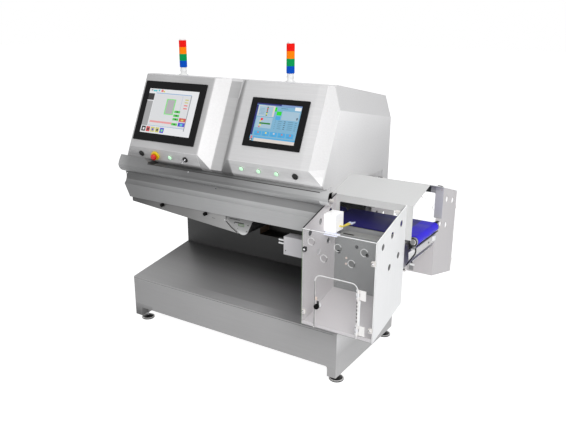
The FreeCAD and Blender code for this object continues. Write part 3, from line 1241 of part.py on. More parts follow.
def exit_hood():
    """Gable-roofed guard over the reject belt with a mouth to each bin."""
    x0 = HOUSE_RIGHT + SEAT
    body = prism_x(hood_outline(0, HOOD_SKIRT), x0, HOOD_RIGHT)
    body = body.cut(prism_x(hood_outline(WALL, HOOD_SKIRT - 1), x0 + WALL, HOOD_RIGHT + 1))
    body = body.cut(prism_x(hood_outline(HOOD_RIM, HOOD_SKIRT - 1), x0 - 1, x0 + 2 * WALL))
    mouth = box(MOUTH_LEFT, MOUTH_RIGHT, -HOOD_HALF - 1, HOOD_HALF + 1, HOOD_SKIRT - 1, MOUTH_TOP)
    top = [e for e in mouth.Edges if e.BoundBox.YLength > HOOD_HALF and e.CenterOfMass.z > MOUTH_TOP - 1]
    body = body.cut(mouth.makeFillet(8.0, top))
    return body.Solids[0]


def bin_top(y):
    """Height of the bin's sloping top edge."""
    return BIN_FRONT_TOP + (y - BIN_FRONT) * BIN_TOP_SLOPE


def front_bin():
    """Bin of perforated side plates, back wall, sloping floor, front lip and chute."""
    side = [(BIN_FRONT, BIN_FRONT_BOTTOM), (BIN_FRONT, BIN_FRONT_TOP), (BIN_BACK, HOOD_EAVE),
            (BIN_BACK, BIN_BACK_BOTTOM)]
    pieces = []
    for x in (BIN_LEFT, BIN_RIGHT - WALL):
        plate = prism_x(side, x, x + WALL)
        holes = [(y, bin_top(y) - BIN_UPPER_DROP) for y in BIN_UPPER_HOLES]
        holes += [(y, bin_top(y) - BIN_LOWER_DROP) for y in BIN_LOWER_HOLES]
        for y, z in holes:
            plate = plate.cut(cylinder(BIN_HOLE_RADIUS, (x - 1, y, z), (1, 0, 0), WALL + 2))
        pieces.append(plate)
    back = box(BIN_LEFT, BIN_RIGHT, BIN_BACK - WALL, BIN_BACK, BIN_BACK_BOTTOM, BIN_BACK_TOP)
    for x, z in BIN_BACK_HOLES:
        back = back.cut(cylinder(BIN_BACK_HOLE_RADIUS, (x, BIN_BACK - WALL - 1, z), (0, 1, 0), WALL + 2))
    floor = prism_x([(BIN_FRONT, BIN_FRONT_BOTTOM), (BIN_FRONT, BIN_FRONT_BOTTOM + WALL),
                     (BIN_BACK, BIN_BACK_BOTTOM + WALL), (BIN_BACK, BIN_BACK_BOTTOM)], BIN_LEFT, BIN_RIGHT)
    lip = box(BIN_LEFT, BIN_RIGHT, BIN_FRONT, BIN_FRONT + WALL, BIN_FRONT_BOTTOM,
              BIN_FRONT_BOTTOM + BIN_LIP_WIDTH)
    chute = box(MOUTH_LEFT + 3, MOUTH_RIGHT - 3, BIN_BACK - WALL, -RAIL_OUTER - CHUTE_GAP,
                BIN_BACK_TOP - WALL, BIN_BACK_TOP)
    return fuse(pieces + [back, floor, lip, chute])


def clear_panel():
    """Clear front panel of the front bin with its holes and the door cut-out."""
    panel = box(BIN_LEFT, BIN_RIGHT, PANEL_FACE, PANEL_BACK, BIN_FRONT_BOTTOM, BIN_FRONT_TOP)
    for x, z in PANEL_HOLES:
        panel = panel.cut(cylinder(PANEL_HOLE_RADIUS, (x, PANEL_FACE - 1, z), (0, 1, 0), PANEL_THICK + 2))
    door = rounded_plate_y(FLAP_LEFT, FLAP_RIGHT, BIN_FRONT_BOTTOM - 5, FLAP_TOP, FLAP_CORNER,
                           PANEL_FACE - 1, PANEL_BACK + 1)
    return panel.cut(door).Solids[0]


def bin_panels():
    """Clear front panels of both bins."""
    front = clear_panel()
    return group([front, mirror_y(front)])


def bin_lid_panels():
    """Clear sloping covers between the side plates of both bins, with their two clamps."""
    x0, x1 = BIN_LEFT + WALL + SEAT, BIN_RIGHT - WALL - SEAT
    y0, y1 = BIN_FRONT, BIN_BACK - SEAT
    lid = prism_x([(y0, bin_top(y0) - PANEL_THICK), (y0, bin_top(y0)), (y1, bin_top(y1)),
                   (y1, bin_top(y1) - PANEL_THICK)], x0, x1)
    return group([lid, mirror_y(lid)])


def bin_door():
    """Clear door of the front bin with its middle hinge knuckles."""
    g = FLAP_GAP
    y0, y1 = PANEL_FACE, PANEL_BACK
    door = rounded_plate_y(FLAP_LEFT + g, FLAP_RIGHT - g, BIN_FRONT_BOTTOM + g, FLAP_TOP - g,
                           FLAP_CORNER - g, y0, y1)
    ax, ay = flap_axis()
    pieces = [door]
    for z in FLAP_HINGE_Z:
        third = FLAP_HINGE_HEIGHT / 3
        leaf = box(FLAP_RIGHT - g - HINGE_LEAF, FLAP_RIGHT - g, y0 - HINGE_LEAF_THICK, y0, z,
                   z + FLAP_HINGE_HEIGHT)
        arm = box(FLAP_RIGHT - g - 4, ax, ay, ay + HINGE_LEAF_THICK, z + third, z + 2 * third)
        foot = box(FLAP_RIGHT - g - 4, FLAP_RIGHT - g, ay, y0, z + third, z + 2 * third)
        knuckle = cylinder(HINGE_BARREL_RADIUS, (ax, ay, z + third), (0, 0, 1), third)
        bore = cylinder(HINGE_PIN_RADIUS + RUN, (ax, ay, z), (0, 0, 1), FLAP_HINGE_HEIGHT)
        pieces += [leaf, fuse([arm, foot, knuckle]).cut(bore)]
    body = fuse(pieces)
    place = (LATCH_X, y0 - 1, LATCH_Z)
    body = body.cut(cylinder(LATCH_SHAFT_RADIUS + RUN, place, (0, 1, 0), PANEL_THICK + 2))
    return body.Solids[0]


def bin_latch():
    """Round latch knob with its shaft and cam, cam upright in the open position."""
    y0 = PANEL_FACE - SEAT
    knob = cylinder(LATCH_RADIUS, (LATCH_X, y0 - 16, LATCH_Z), (0, 1, 0), 16)
    knob = knob.makeChamfer(2.5, [e for e in knob.Edges if e.CenterOfMass.y < y0 - 15.9])
    shaft = cylinder(LATCH_SHAFT_RADIUS, (LATCH_X, y0 - 2, LATCH_Z), (0, 1, 0), PANEL_THICK + 8)
    cam = box(LATCH_X - 6, LATCH_X + 6, PANEL_BACK + SEAT, PANEL_BACK + SEAT + 4, LATCH_Z - 6, LATCH_Z + 26)
    return fuse([knob, shaft, cam])


def panel_clamps():
    """Corner clamps that hold the clear panels and lids of both bins."""
    w, h, t = CLAMP_SIZE
    clamps = []
    for x, z in CLAMP_PLACES:
        clamp = box(x - w / 2, x + w / 2, PANEL_FACE - SEAT - t, PANEL_FACE - SEAT, z - h / 2, z + h / 2)
        clamp = clamp.makeFillet(CLAMP_CORNER, [e for e in clamp.Edges if e.BoundBox.YLength > t - 0.1])
        clamps.append(clamp.cut(cylinder(CLAMP_SCREW_RADIUS, (x, PANEL_FACE - t - 1, z), (0, 1, 0), 4)))
    for x in LID_CLAMP_X:
        z = bin_top(LID_CLAMP_Y) + SEAT
        lw, ld, lh = LID_CLAMP_SIZE
        block = box(x - lw / 2, x + lw / 2, LID_CLAMP_Y - ld / 2, LID_CLAMP_Y + ld / 2, 0, lh)
        block = block.makeChamfer(3.0, [e for e in block.Edges if e.BoundBox.ZLength > lh - 1])
        block.rotate(V(x, LID_CLAMP_Y, 0), V(1, 0, 0), math.degrees(math.atan(BIN_TOP_SLOPE)))
        block.translate(V(0, 0, z))
        clamps.append(block)
    front = group(clamps)
    return group([front, mirror_y(front)])


def air_blocks():
    """Valve blocks of the air-blast units on the bins' left plates."""
    w, d, h = AIR_BLOCK
    x0 = BIN_LEFT + WALL + SEAT
    y0, z0 = AIR_BLOCK_Y - d / 2, AIR_BLOCK_Z - h / 2
    block = box(x0, x0 + w, y0, y0 + d, z0, z0 + h)
    upright = [e for e in block.Edges if e.BoundBox.ZLength > h - 1 and e.CenterOfMass.x > x0 + 1]
    block = block.makeFillet(AIR_BLOCK_CORNER, upright)
    fw, fd, fh = AIR_FLANGE
    flange = box(x0, x0 + fw, y0, y0 + fd, z0 - AIR_FLANGE_DROP - fh, z0 - AIR_FLANGE_DROP)
    neck = box(x0 + 6, x0 + w - 12, y0 + 6, y0 + fd - 6, z0 - AIR_FLANGE_DROP - 1, z0 + 1)
    block = fuse([block, flange, neck])
    return group([block, mirror_y(block)])


def air_nozzles():
    """Tubes with conical tips that point from the valve blocks across the belt."""
    w = AIR_BLOCK[0]
    start = V(BIN_LEFT + WALL + 2 * SEAT + w, AIR_BLOCK_Y, AIR_BLOCK_Z - AIR_TUBE_DROP)
    stub = Part.makeCylinder(AIR_TUBE_RADIUS, AIR_TUBE_STUB, start, V(1, 0, 0))
    turn = start + V(AIR_TUBE_STUB, 0, 0)
    reach = V(AIR_TUBE_REACH[0], AIR_TUBE_REACH[1], 0)
    tube = Part.makeCylinder(AIR_TUBE_RADIUS, reach.Length, turn, reach)
    place = turn + reach * AIR_TIP_SHARE
    tip = Part.makeCone(AIR_TUBE_RADIUS + 3, AIR_TUBE_RADIUS, AIR_TIP_LENGTH, place, reach)
    nozzle = fuse([stub, Part.makeSphere(AIR_TUBE_RADIUS, turn), tube, tip])
    return group([nozzle, mirror_y(nozzle)])


def valve_box():
    """Grey valve box on the front bin's left plate with two air fittings."""
    body = box(VALVE_LEFT, BIN_LEFT - SEAT, VALVE_FRONT, VALVE_REAR, VALVE_BOTTOM, VALVE_TOP)
    body = body.makeFillet(4.0, [e for e in body.Edges if e.CenterOfMass.x < VALVE_LEFT + 1])
    pieces = [body]
    for drop in VALVE_ROD_DROPS:
        place = (VALVE_LEFT - VALVE_ROD_REACH, VALVE_FRONT + 18, VALVE_TOP - drop)
        pieces.append(cylinder(VALVE_ROD_RADIUS, place,
                               (1, 0, 0), VALVE_ROD_REACH + 8))
    body = fuse(pieces)
    hole = cylinder(3.5, (VALVE_LEFT + 15, VALVE_FRONT - 1, VALVE_BOTTOM + 24), (0, 1, 0), 8)
    return body.cut(hole).Solids[0]


def xray_generator():
    """Shielded generator tank on the housing's floor with cooling ribs on its lid."""
    w, d, h = GENERATOR_SIZE
    z = HOUSE_FLOOR + WALL + SEAT
    x0, y0 = GENERATOR_X - w / 2, GENERATOR_Y - d / 2
    tank = box(x0, x0 + w, y0, y0 + d, z, z + h)
    tank = tank.makeFillet(GENERATOR_CORNER, [e for e in tank.Edges if e.BoundBox.ZLength > h - 1])
    over, lid = GENERATOR_LID
    pieces = [tank, box(x0 - over, x0 + w + over, y0 - over, y0 + d + over, z + h, z + h + lid)]
    thick, high = GENERATOR_RIB_SIZE
    for k in range(GENERATOR_RIBS):
        x = x0 + RIB_INSET + k * (w - 2 * RIB_INSET - thick) / (GENERATOR_RIBS - 1)
        pieces.append(box(x, x + thick, y0 + RIB_INSET, y0 + d - RIB_INSET, z + h, z + h + high))
    return fuse(pieces)


def fan(half_widths, over, half_thick):
    """Slab that widens downwards under the housing's floor, longer by `over` at both faces."""
    z = HOUSE_FLOOR - SEAT
    a, b = half_widths
    outline = [(-a, z + over), (a, z + over), (b, z - COLLIMATOR_DROP - over), (-b, z - COLLIMATOR_DROP - over)]
    return prism_x(outline, GENERATOR_X - half_thick, GENERATOR_X + half_thick)


def collimator():
    """Fan-shaped beam collimator under the housing's floor."""
    return fan(COLLIMATOR_FAN, 0.0, COLLIMATOR_HALF).cut(fan(SLOT_FAN, 1.0, SLOT_HALF)).Solids[0]


def detector_array():
    """Line detector between the rails, just under the belt's upper run."""
    reach = RAIL_INNER - SEAT
    half = DETECTOR_WIDTH / 2
    z1 = BELT_TOP - BELT_THICK - DETECTOR_GAP
    body = box(GENERATOR_X - half, GENERATOR_X + half, -reach, reach, z1 - DETECTOR_HEIGHT, z1)
    across, along, depth = DETECTOR_SLOT
    slot = box(GENERATOR_X - across, GENERATOR_X + across, -along, along, z1 - depth, z1 + 1)
    return body.cut(slot).Solids[0]


def control_computer():
    """Fanless control computer with a finned lid on the housing's floor."""
    w, d, h = COMPUTER_SIZE
    z = HOUSE_FLOOR + WALL + SEAT
    x0, y0 = COMPUTER_X - w / 2, COMPUTER_Y - d / 2
    pieces = [box(x0, x0 + w, y0, y0 + d, z, z + h)]
    thick, high = COMPUTER_FIN_SIZE
    for k in range(COMPUTER_FINS):
        x = x0 + FIN_INSET + k * (w - 2 * FIN_INSET - thick) / (COMPUTER_FINS - 1)
        pieces.append(box(x, x + thick, y0 + FIN_INSET, y0 + d - FIN_INSET, z + h - 1, z + h + high))
    return fuse(pieces)


def row_of_units(row, size, x0, y, z0):
    """Equal units side by side on the electrical plate."""
    count, pitch, up = row
    w, d, h = size
    return [box(x0 + UNIT_START + k * pitch, x0 + UNIT_START + k * pitch + w, y, y + d, z0 + up, z0 + up + h)
            for k in range(count)]


def electrical_plate():
    """Mounting plate in the column with rails, drives and supply units on it."""
    y = COLUMN_FRONT + WALL + SEAT
    x0, x1 = REAR_OPENING_LEFT + PLATE_INSET[0], NICHE_LEFT - WALL - PLATE_NICHE_GAP
    z0 = REAR_OPENING_BOTTOM + PLATE_INSET[1]
    z1 = REAR_OPENING_BOTTOM + REAR_OPENING_HEIGHT - PLATE_INSET[1]
    pieces = [box(x0, x1, y, y + WALL, z0, z1)]
    high, deep = RAIL_SIZE
    face = y + WALL + deep
    for up in RAIL_UPS:
        pieces.append(box(x0 + PLATE_INSET[1], x1 - PLATE_INSET[1], y + WALL, face, z0 + up, z0 + up + high))
    pieces += row_of_units(DRIVE_UNITS, DRIVE_UNIT_SIZE, x0, face - 1, z0)
    pieces += row_of_units(BREAKERS, BREAKER_SIZE, x0, face - 1, z0)
    px, pz = x0 + SUPPLY_PLACE[0], z0 + SUPPLY_PLACE[1]
    w, d, h = SUPPLY_SIZE
    pieces.append(box(px, px + w, face - 1, face - 1 + d, pz, pz + h))
    return fuse(pieces)


def tunnel_curtains():
    """Leaded rubber curtains across the tunnel, each a bar with hanging strips."""
    combs = []
    for x in CURTAIN_X:
        z1 = HOUSE_FLOOR - SEAT
        half, high = CURTAIN_BAR
        pieces = [box(x - half, x + half, -CURTAIN_HALF, CURTAIN_HALF, z1 - high, z1)]
        step = STRIP_WIDTH + STRIP_GAP
        count = int((2 * CURTAIN_HALF + STRIP_GAP) // step)
        start = -(count * step - STRIP_GAP) / 2
        for k in range(count):
            y = start + k * step
            pieces.append(box(x - STRIP_HALF, x + STRIP_HALF, y, y + STRIP_WIDTH, CURTAIN_BOTTOM,
                              z1 - high + 1))
        combs.append(fuse(pieces))
    return group(combs)


def all_parts():
    """Names and shapes of all sub-parts."""
    parts = {
        "base_frame": base_frame(), "foot_pads": foot_pads(), "foot_spindles": foot_spindles(),
        "column_shell": column_shell(), "cable_inlet": cable_inlet(), "column_door": column_door(),
        "column_lock": column_lock(), "upper_housing": upper_housing(), "display_bezels": display_bezels(),
        "display_glass": display_glass(), "device_bezels": device_bezels(), "estop_collar": estop_collar(),
        "estop_head": estop_head(), "key": key(), "tower_bodies": tower_bodies(),
        "tower_lenses": tower_lenses(), "cover_lip": cover_lip(), "front_door": front_door(),
        "door_hinges": door_hinges(), "tunnel_pan": tunnel_pan(), "pan_knob_left": pan_knob(0),
        "pan_knob_right": pan_knob(1), "drive_end_plate": drive_end_plate(), "conveyor_belts": conveyor_belts(),
        "xray_conveyor_frame": xray_conveyor_frame(), "weigh_conveyor_frame": weigh_conveyor_frame(),
        "reject_conveyor_frame": reject_conveyor_frame(), "load_cell": load_cell(), "gearmotors": gearmotors(),
        "exit_hood": exit_hood(), "front_bin": front_bin(), "rear_bin": mirror_y(front_bin()),
        "bin_panels": bin_panels(), "bin_lid_panels": bin_lid_panels(), "front_bin_door": bin_door(),
        "rear_bin_door": mirror_y(bin_door()), "front_bin_latch": bin_latch(),
        "rear_bin_latch": mirror_y(bin_latch()), "panel_clamps": panel_clamps(), "air_blocks": air_blocks(),
        "air_nozzles": air_nozzles(), "valve_box": valve_box(), "xray_generator": xray_generator(),
        "collimator": collimator(), "detector_array": detector_array(), "control_computer": control_computer(),
        "electrical_plate": electrical_plate(), "tunnel_curtains": tunnel_curtains(),
    }
    for name in LEFT_ROW + RIGHT_ROW:
        if "button" in name:
            parts[name] = push_button(name, "lit" in name)
    for name, span in (("xray", XRAY_BELT), ("weigh", WEIGH_BELT), ("reject", REJECT_BELT)):
        parts[name + "_idler_roller"] = roller(span, 0)
        parts[name + "_drive_roller"] = roller(span, 1)
    return parts


os.makedirs("parts", exist_ok=True)
for node, shape in all_parts().items():
    shape.exportStep("parts/" + node + ".step")
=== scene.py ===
"""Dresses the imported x-ray inspection machine: camera, studio, materials, displays and fine parts.

Metres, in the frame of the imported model.  The source's driving dimensions that fine parts need
are repeated here as named values.
"""
import bpy
import math
from mathutils import Matrix, Vector


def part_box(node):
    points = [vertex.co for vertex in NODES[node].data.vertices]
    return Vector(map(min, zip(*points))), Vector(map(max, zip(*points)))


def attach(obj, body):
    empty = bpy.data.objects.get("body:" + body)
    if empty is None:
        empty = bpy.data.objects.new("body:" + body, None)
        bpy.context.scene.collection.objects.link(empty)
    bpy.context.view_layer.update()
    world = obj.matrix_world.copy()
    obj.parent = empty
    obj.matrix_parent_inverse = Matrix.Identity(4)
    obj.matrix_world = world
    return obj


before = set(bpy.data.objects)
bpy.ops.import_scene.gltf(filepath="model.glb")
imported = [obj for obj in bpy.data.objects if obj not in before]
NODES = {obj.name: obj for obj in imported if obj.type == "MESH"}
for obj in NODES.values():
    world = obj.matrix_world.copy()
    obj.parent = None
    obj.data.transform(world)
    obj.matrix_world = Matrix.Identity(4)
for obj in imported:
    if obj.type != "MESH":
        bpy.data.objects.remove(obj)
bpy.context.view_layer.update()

X_WAY = (1, 0, 0)
Y_WAY = (0, 1, 0)
Z_WAY = (0, 0, 1)
UPRIGHT = (X_WAY, Z_WAY)
SIDEWAYS = (Y_WAY, Z_WAY)
WHITE = (1, 1, 1, 1)
PURE_WHITE = (255, 255, 255)
SIDES = (("front", -1), ("rear", 1))

# Camera
CAMERA_PLACE = (2.15665, -3.34293, 2.07046)
CAMERA_YAW = 0.568788        # turned to the left of +Y
CAMERA_PITCH = 0.305253      # downwards
CAMERA_ROLL = 0.004402
CAMERA_LENS = 41.307
CAMERA_SENSOR = 36.0

# Studio: light of the surroundings, floor as lit and as seen, lamps as (name, place, size, power)
AMBIENT_COLOR = (0.95, 0.97, 1.0, 1)
WORLD_LEVEL = 0.45
FLOOR_HALF = 40.0
FLOOR_LIT = 0.8
FLOOR_SEEN = 0.42
FLOOR_GLOW = 0.93
LAMP_AIM = (0, 0, 0.9)
LAMPS = (("key", (3.0, -3.2, 3.0), 1.8, 105.0),
         ("fill", (-3.4, -4.2, 2.4), 2.4, 22.0),
         ("top", (0.9, -0.4, 5.0), 3.0, 45.0))

# Surfaces: softness of painted borders, noise scales of brushed sheet and the stretch of its lines
BORDER_SOFT = 0.0006
GRAIN_SCALE = 900.0
STREAK_SCALE = 110.0
CLOUD_SCALE = 2.2
LINE_STRETCH = 0.02

# Console and button panels of the housing, as (y, z)
LEAN = math.radians(24.37)
FOLD = (-0.384, 1.269)
PANEL_FOOT = (-0.347, 1.183)
DEVICE_UP = 0.046

# Displays: centre x, height up the panel, width and height of the picture
LEFT_DISPLAY = (-0.645, 0.241, 0.408, 0.290)
RIGHT_DISPLAY = (0.151, 0.2405, 0.302, 0.224)
PICTURE_LIFT = 0.0066        # just in front of the glass, below the frame's face
LAYER_STEP = 0.00008
PICTURE_DIM = 0.4
PICTURE_GLOW = 0.5

# Right ends of the housing, the base and the column, where another light falls
HOUSING_END = 0.4946
BASE_END = 0.6194
COLUMN_END = 0.4935
LIP_END = 0.515

# Bins: plates at x, front and back in y, heights; the front panel's holes, door and clamps as (x, z)
BIN_LEFT = 0.521
BIN_RIGHT = 0.943
BIN_FRONT = 0.592
BIN_BACK = 0.237
BIN_BOTTOM = 0.479
BIN_FRONT_Z = 1.022
BIN_BACK_Z = 1.126
PANEL_FACE = 0.5983
STRIP_LIFT = 0.0006
SEAL_Z = BIN_FRONT_Z - 0.0035
PANEL_HOLES = ((0.576, 0.961), (0.652, 0.883), (0.731, 0.956), (0.810, 0.887), (0.878, 0.959))
HOLE_RIM = (0.0186, 0.0204, 0.0008)        # inner and outer radius, thickness
FLAP_LEFT = 0.602
FLAP_RIGHT = 0.853
FLAP_TOP = 0.785
FLAP_CORNER = 0.037
FLAP_EDGE_INSET = 0.0042
LEAF_X = 0.844
LEAF_FACE = 0.5985
LEAF_BOTTOMS = (0.506, 0.703)
LEAF_SCREWS = (0.014, 0.040)
BLACK_CLAMP = (0.541, 0.914)
CLAMP_PLACES = (BLACK_CLAMP, (0.541, 0.560), (0.933, 0.914), (0.933, 0.552))
CLAMP_FACE = 0.6103
LID_CLAMP_X = (0.538, 0.925)
LID_CLAMP_Y = 0.317
BEIGE_SHARE = 0.68
BEIGE_DISC = (0.6005, 0.2402)        # x and distance from the middle
BEIGE_DISC_Z = (0.7615, 0.7265)
BACK_HOLES = ((0.663, 0.839), (0.551, 0.789), (0.729, 0.802))
PLUG_PLACES = ((0.52, 0.977), (0.318, 0.884))
HINGE_LINES = tuple(0.575 + 0.021 * index for index in range(6))
LATCH = (0.618, 0.606)

# Strips along a bin's lid: x, start and end as shares of the slope, lift, radius, paint
LID_STRIPS = ((BIN_LEFT + 0.0015, 0.0, 1.0, 0.0018, 0.0034, "black"),
              (BIN_LEFT - 0.001, 0.4, 0.85, -0.0042, 0.0016, "blue"),
              (BIN_RIGHT - 0.0015, 0.0, 1.0, 0.001, 0.0022, "white"),
              (BIN_RIGHT - 0.0052, 0.05, 0.97, 0.001, 0.0012, "black"))

# Strips on a bin's front panel: both ends in x, both in z, radius, paint
PANEL_STRIPS = ((BIN_LEFT + 0.003, BIN_RIGHT - 0.002, BIN_FRONT_Z, BIN_FRONT_Z, 0.002, "white"),
                (BIN_LEFT + 0.003, BIN_RIGHT - 0.002, SEAL_Z, SEAL_Z, 0.0009, "grey"),
                (BIN_LEFT + 0.0012, BIN_LEFT + 0.0012, BIN_BOTTOM, BIN_FRONT_Z, 0.0013, "moss"),
                (BIN_RIGHT - 0.0016, BIN_RIGHT - 0.0016, BIN_BOTTOM, BIN_FRONT_Z, 0.0016, "white"),
                (BIN_RIGHT - 0.0045, BIN_RIGHT - 0.0045, BIN_BOTTOM, BIN_FRONT_Z, 0.0009, "grey"),
                (BIN_LEFT + 0.002, BIN_RIGHT - 0.002, BIN_BOTTOM + 0.001, BIN_BOTTOM + 0.001, 0.0012, "grey"))

# Feet with painted highlight rings, the seam on the base (its ends in x, then z), tower lens ribs
FOOT_X = (-0.945, 0.585)
FOOT_Y = (-0.284, 0.397)
FOOT_HIGHLIGHT = ((0.0425, 0.0042), (0.0446, 0.0048), (0.0446, 0.0098), (0.0422, 0.0112), (0.0395, 0.0114))
BASE_EDGE = (-0.975, 0.6, 0.3275)
SEAM_RADIUS = 0.0011
RIB_COUNT = 24
RIB_TURN = 4        # degrees
RIB_RADIUS = 0.0042

# Operating devices and their rings as (radius, height)
LIT_BUTTONS = (-0.583, -0.034, 0.088, 0.210)
BLACK_BUTTONS = (-0.827, 0.332)
LIT_RING = ((0.0146, 0.0002), (0.0158, 0.0006), (0.0158, 0.0012), (0.0144, 0.0018))
BLACK_RING = ((0.0158, 0.0002), (0.0186, 0.0006), (0.0186, 0.0056), (0.0162, 0.0068))
KEY_RING = ((0.0125, 0.0002), (0.018, 0.0006), (0.018, 0.0056), (0.0128, 0.0066))
LIP_MARK = (-0.4, -0.4136, 1.164)

# Guard hood, the end plate of the belt drive, the exit roller and the valve box
HOOD_RIDGE = 1.192
HOOD_EAVE = 1.126
HOOD_SHEET = 0.0016
PLATE_END = 0.03
PLATE_DEEP = 0.0045
EXIT_ROLLER = "reject_drive_roller"
HUB_Y = -0.1732
HOSE_Y = -0.176
VALVE_ROD_END = 0.2385


def srgb(rgb):
    """Linear colour of an 8-bit display colour."""
    shares = [c / 255 for c in rgb]
    return (*(c / 12.92 if c <= 0.04045 else ((c + 0.055) / 1.055) ** 2.4 for c in shares), 1.0)


def node(tree, kind, **values):
    """New shader node with its input values and settings."""
    made = tree.nodes.new(kind)
    for key, value in values.items():
        if key in made.inputs:
            made.inputs[key].default_value = value
        else:
            setattr(made, key, value)
    return made


def zone(x0=None, x1=None, y0=None, y1=None, z0=None, z1=None):
    """Corners of a box in the part's frame; a side that is left out is open."""
    return (x0, y0, z0), (x1, y1, z1)


class Paint:
    """A node material with a principled shader and shorthands for its nodes."""

    def __init__(self, name, color, roughness=0.5, metallic=0.0):
        self.material = bpy.data.materials.new(name)
        self.material.use_nodes = True
        self.tree = self.material.node_tree
        self.shader = self.tree.nodes["Principled BSDF"]
        self.color = srgb(color)
        self.set("Base Color", self.color)
        self.set("Roughness", roughness)
        self.set("Metallic", metallic)

    def node(self, kind, **values):
        return node(self.tree, kind, **values)

    def feed(self, value, socket):
        """Give a socket a number, a colour or another node's output."""
        if isinstance(value, (int, float, tuple)):
            socket.default_value = value
        else:
            self.tree.links.new(value, socket)

    def set(self, name, value):
        """Set or link an input of the principled shader."""
        self.feed(value, self.shader.inputs[name])

    def glow(self, color, strength):
        self.set("Emission Color", srgb(color))
        self.set("Emission Strength", strength)

    def noise(self, scale, stretch=(1, 1, 1), detail=4.0):
        """Noise in object space, stretched along the axes."""
        coord = self.node("ShaderNodeTexCoord")
        mapping = self.node("ShaderNodeMapping", Scale=stretch)
        texture = self.node("ShaderNodeTexNoise", Scale=scale, Detail=detail)
        self.feed(coord.outputs["Object"], mapping.inputs["Vector"])
        self.feed(mapping.outputs["Vector"], texture.inputs["Vector"])
        return texture.outputs["Fac"]

    def spread(self, value, low, high, start=0.3, end=0.7):
        """Map a noise value from start..end to low..high."""
        ranged = self.node("ShaderNodeMapRange")
        limits = (("From Min", start), ("From Max", end), ("To Min", low), ("To Max", high), ("Value", value))
        for name, limit in limits:
            self.feed(limit, ranged.inputs[name])
        return ranged.outputs["Result"]

    def along(self, axis):
        """Coordinate along X, Y or Z of the part's frame."""
        coord = self.node("ShaderNodeTexCoord")
        split = self.node("ShaderNodeSeparateXYZ")
        self.feed(coord.outputs["Object"], split.inputs["Vector"])
        return split.outputs[axis]

    def math(self, operation, first, second):
        made = self.node("ShaderNodeMath", operation=operation)
        self.feed(first, made.inputs[0])
        self.feed(second, made.inputs[1])
        return made.outputs[0]

    def mix(self, share, first, second, blend="MIX"):
        """Blend two colours, the second one by its share."""
        made = self.node("ShaderNodeMix", data_type="RGBA", blend_type=blend)
        for slot, value in ((0, share), (6, first), (7, second)):
            self.feed(value, made.inputs[slot])
        return made.outputs[2]

    def inside(self, low, high, soft=BORDER_SOFT):
        """One inside a box of the part's frame, else zero; None leaves a side open."""
        total = None
        for axis, start, end in zip("XYZ", low, high):
            for edge, rise in ((start, 1), (end, -1)):
                if edge is None:
                    continue
                before, after = 0.5 - 0.5 * rise, 0.5 + 0.5 * rise
                value = self.spread(self.along(axis), before, after, edge - soft, edge + soft)
                total = value if total is None else self.math("MULTIPLY", total, value)
        return total

    def patch(self, mask, color):
        """Give the base another colour where the mask is one."""
        self.color = self.mix(mask, self.color, srgb(color))

    def shade(self, axis, stops):
        """Grey factor that changes softly along one axis, from (place, factor) pairs."""
        low, high = stops[0][0], stops[-1][0]
        level = self.spread(self.along(axis), 0.0, 1.0, low, high)
        spots = [((place - low) / (high - low), (factor, factor, factor, 1)) for place, factor in stops]
        return self.ramp(level, spots)

    def ramp(self, level, spots):
        """Colour ramp over a level of 0 to 1, from (position, colour) pairs."""
        ramp = self.node("ShaderNodeValToRGB")
        elements = ramp.color_ramp.elements
        for index, (spot, colour) in enumerate(spots):
            element = elements[index] if index < 2 else elements.new(spot)
            element.position = spot
            element.color = colour
        self.feed(level, ramp.inputs["Fac"])
        return ramp.outputs["Color"]

    def where(self, mask, factor):
        """The factor inside a mask, one outside it."""
        return factor if mask is None else self.mix(mask, WHITE, factor)

    def tint(self, *factors):
        """Multiply the base colour by grey factors."""
        current = self.color
        for factor in factors:
            current = self.mix(1.0, current, factor, "MULTIPLY")
        self.set("Base Color", current)

    def bump(self, height, strength, distance):
        bump = self.node("ShaderNodeBump", Strength=strength, Distance=distance)
        self.feed(height, bump.inputs["Height"])
        self.set("Normal", bump.outputs["Normal"])


def steel(name, color, roughness, metallic, along, contrast=0.06, cloud=0.04, patches=(), shades=()):
    """Brushed sheet: scratches and streaks along one axis over soft clouds.

    patches give zones another colour, their own or painted light and shade; shades darken or brighten zones
    softly along an axis as painted light and shade.
    """
    paint = Paint(name, color, roughness, metallic)
    for corners, other in patches:
        paint.patch(paint.inside(*corners), other)
    stretch = tuple(LINE_STRETCH if axis == along else 1 for axis in "xyz")
    grain = paint.noise(GRAIN_SCALE, stretch, 3.0)
    streaks = paint.noise(STREAK_SCALE, stretch, 2.0)
    broad = paint.noise(CLOUD_SCALE, (1, 1, 1), 2.0)
    factors = [paint.spread(grain, 1 - contrast, 1.0), paint.spread(streaks, 1 - 0.7 * contrast, 1.0),
               paint.spread(broad, 1 - cloud, 1.0)]
    for corners, axis, stops in shades:
        factors.append(paint.where(paint.inside(*corners), paint.shade(axis, stops)))
    paint.tint(*factors)
    paint.set("Roughness", paint.spread(grain, roughness - 0.06, roughness + 0.08))
    paint.bump(grain, 0.08, 0.0002)
    return paint.material


def plastic(name, color, roughness=0.35, grain=0.0004):
    """Moulded plastic with a fine eroded surface."""
    paint = Paint(name, color, roughness)
    fine = paint.noise(1400.0)
    broad = paint.noise(30.0)
    paint.tint(paint.spread(broad, 0.94, 1.05))
    paint.set("Roughness", paint.spread(fine, roughness - 0.05, roughness + 0.07))
    paint.bump(fine, 0.12, grain)
    return paint.material


def spotted(name, color, roughness, scale, low, high=1.0, patches=(), glow=None, **fixed):
    """Smooth plastic with faint spots; fixed gives inputs of the shader that keep one value."""
    paint = Paint(name, color, roughness)
    for corners, other in patches:
        paint.patch(paint.inside(*corners), other)
    paint.tint(paint.spread(paint.noise(scale), low, high))
    if glow:
        paint.glow(*glow)
    for key, value in fixed.items():
        paint.set(key.replace("_", " "), value)
    return paint.material


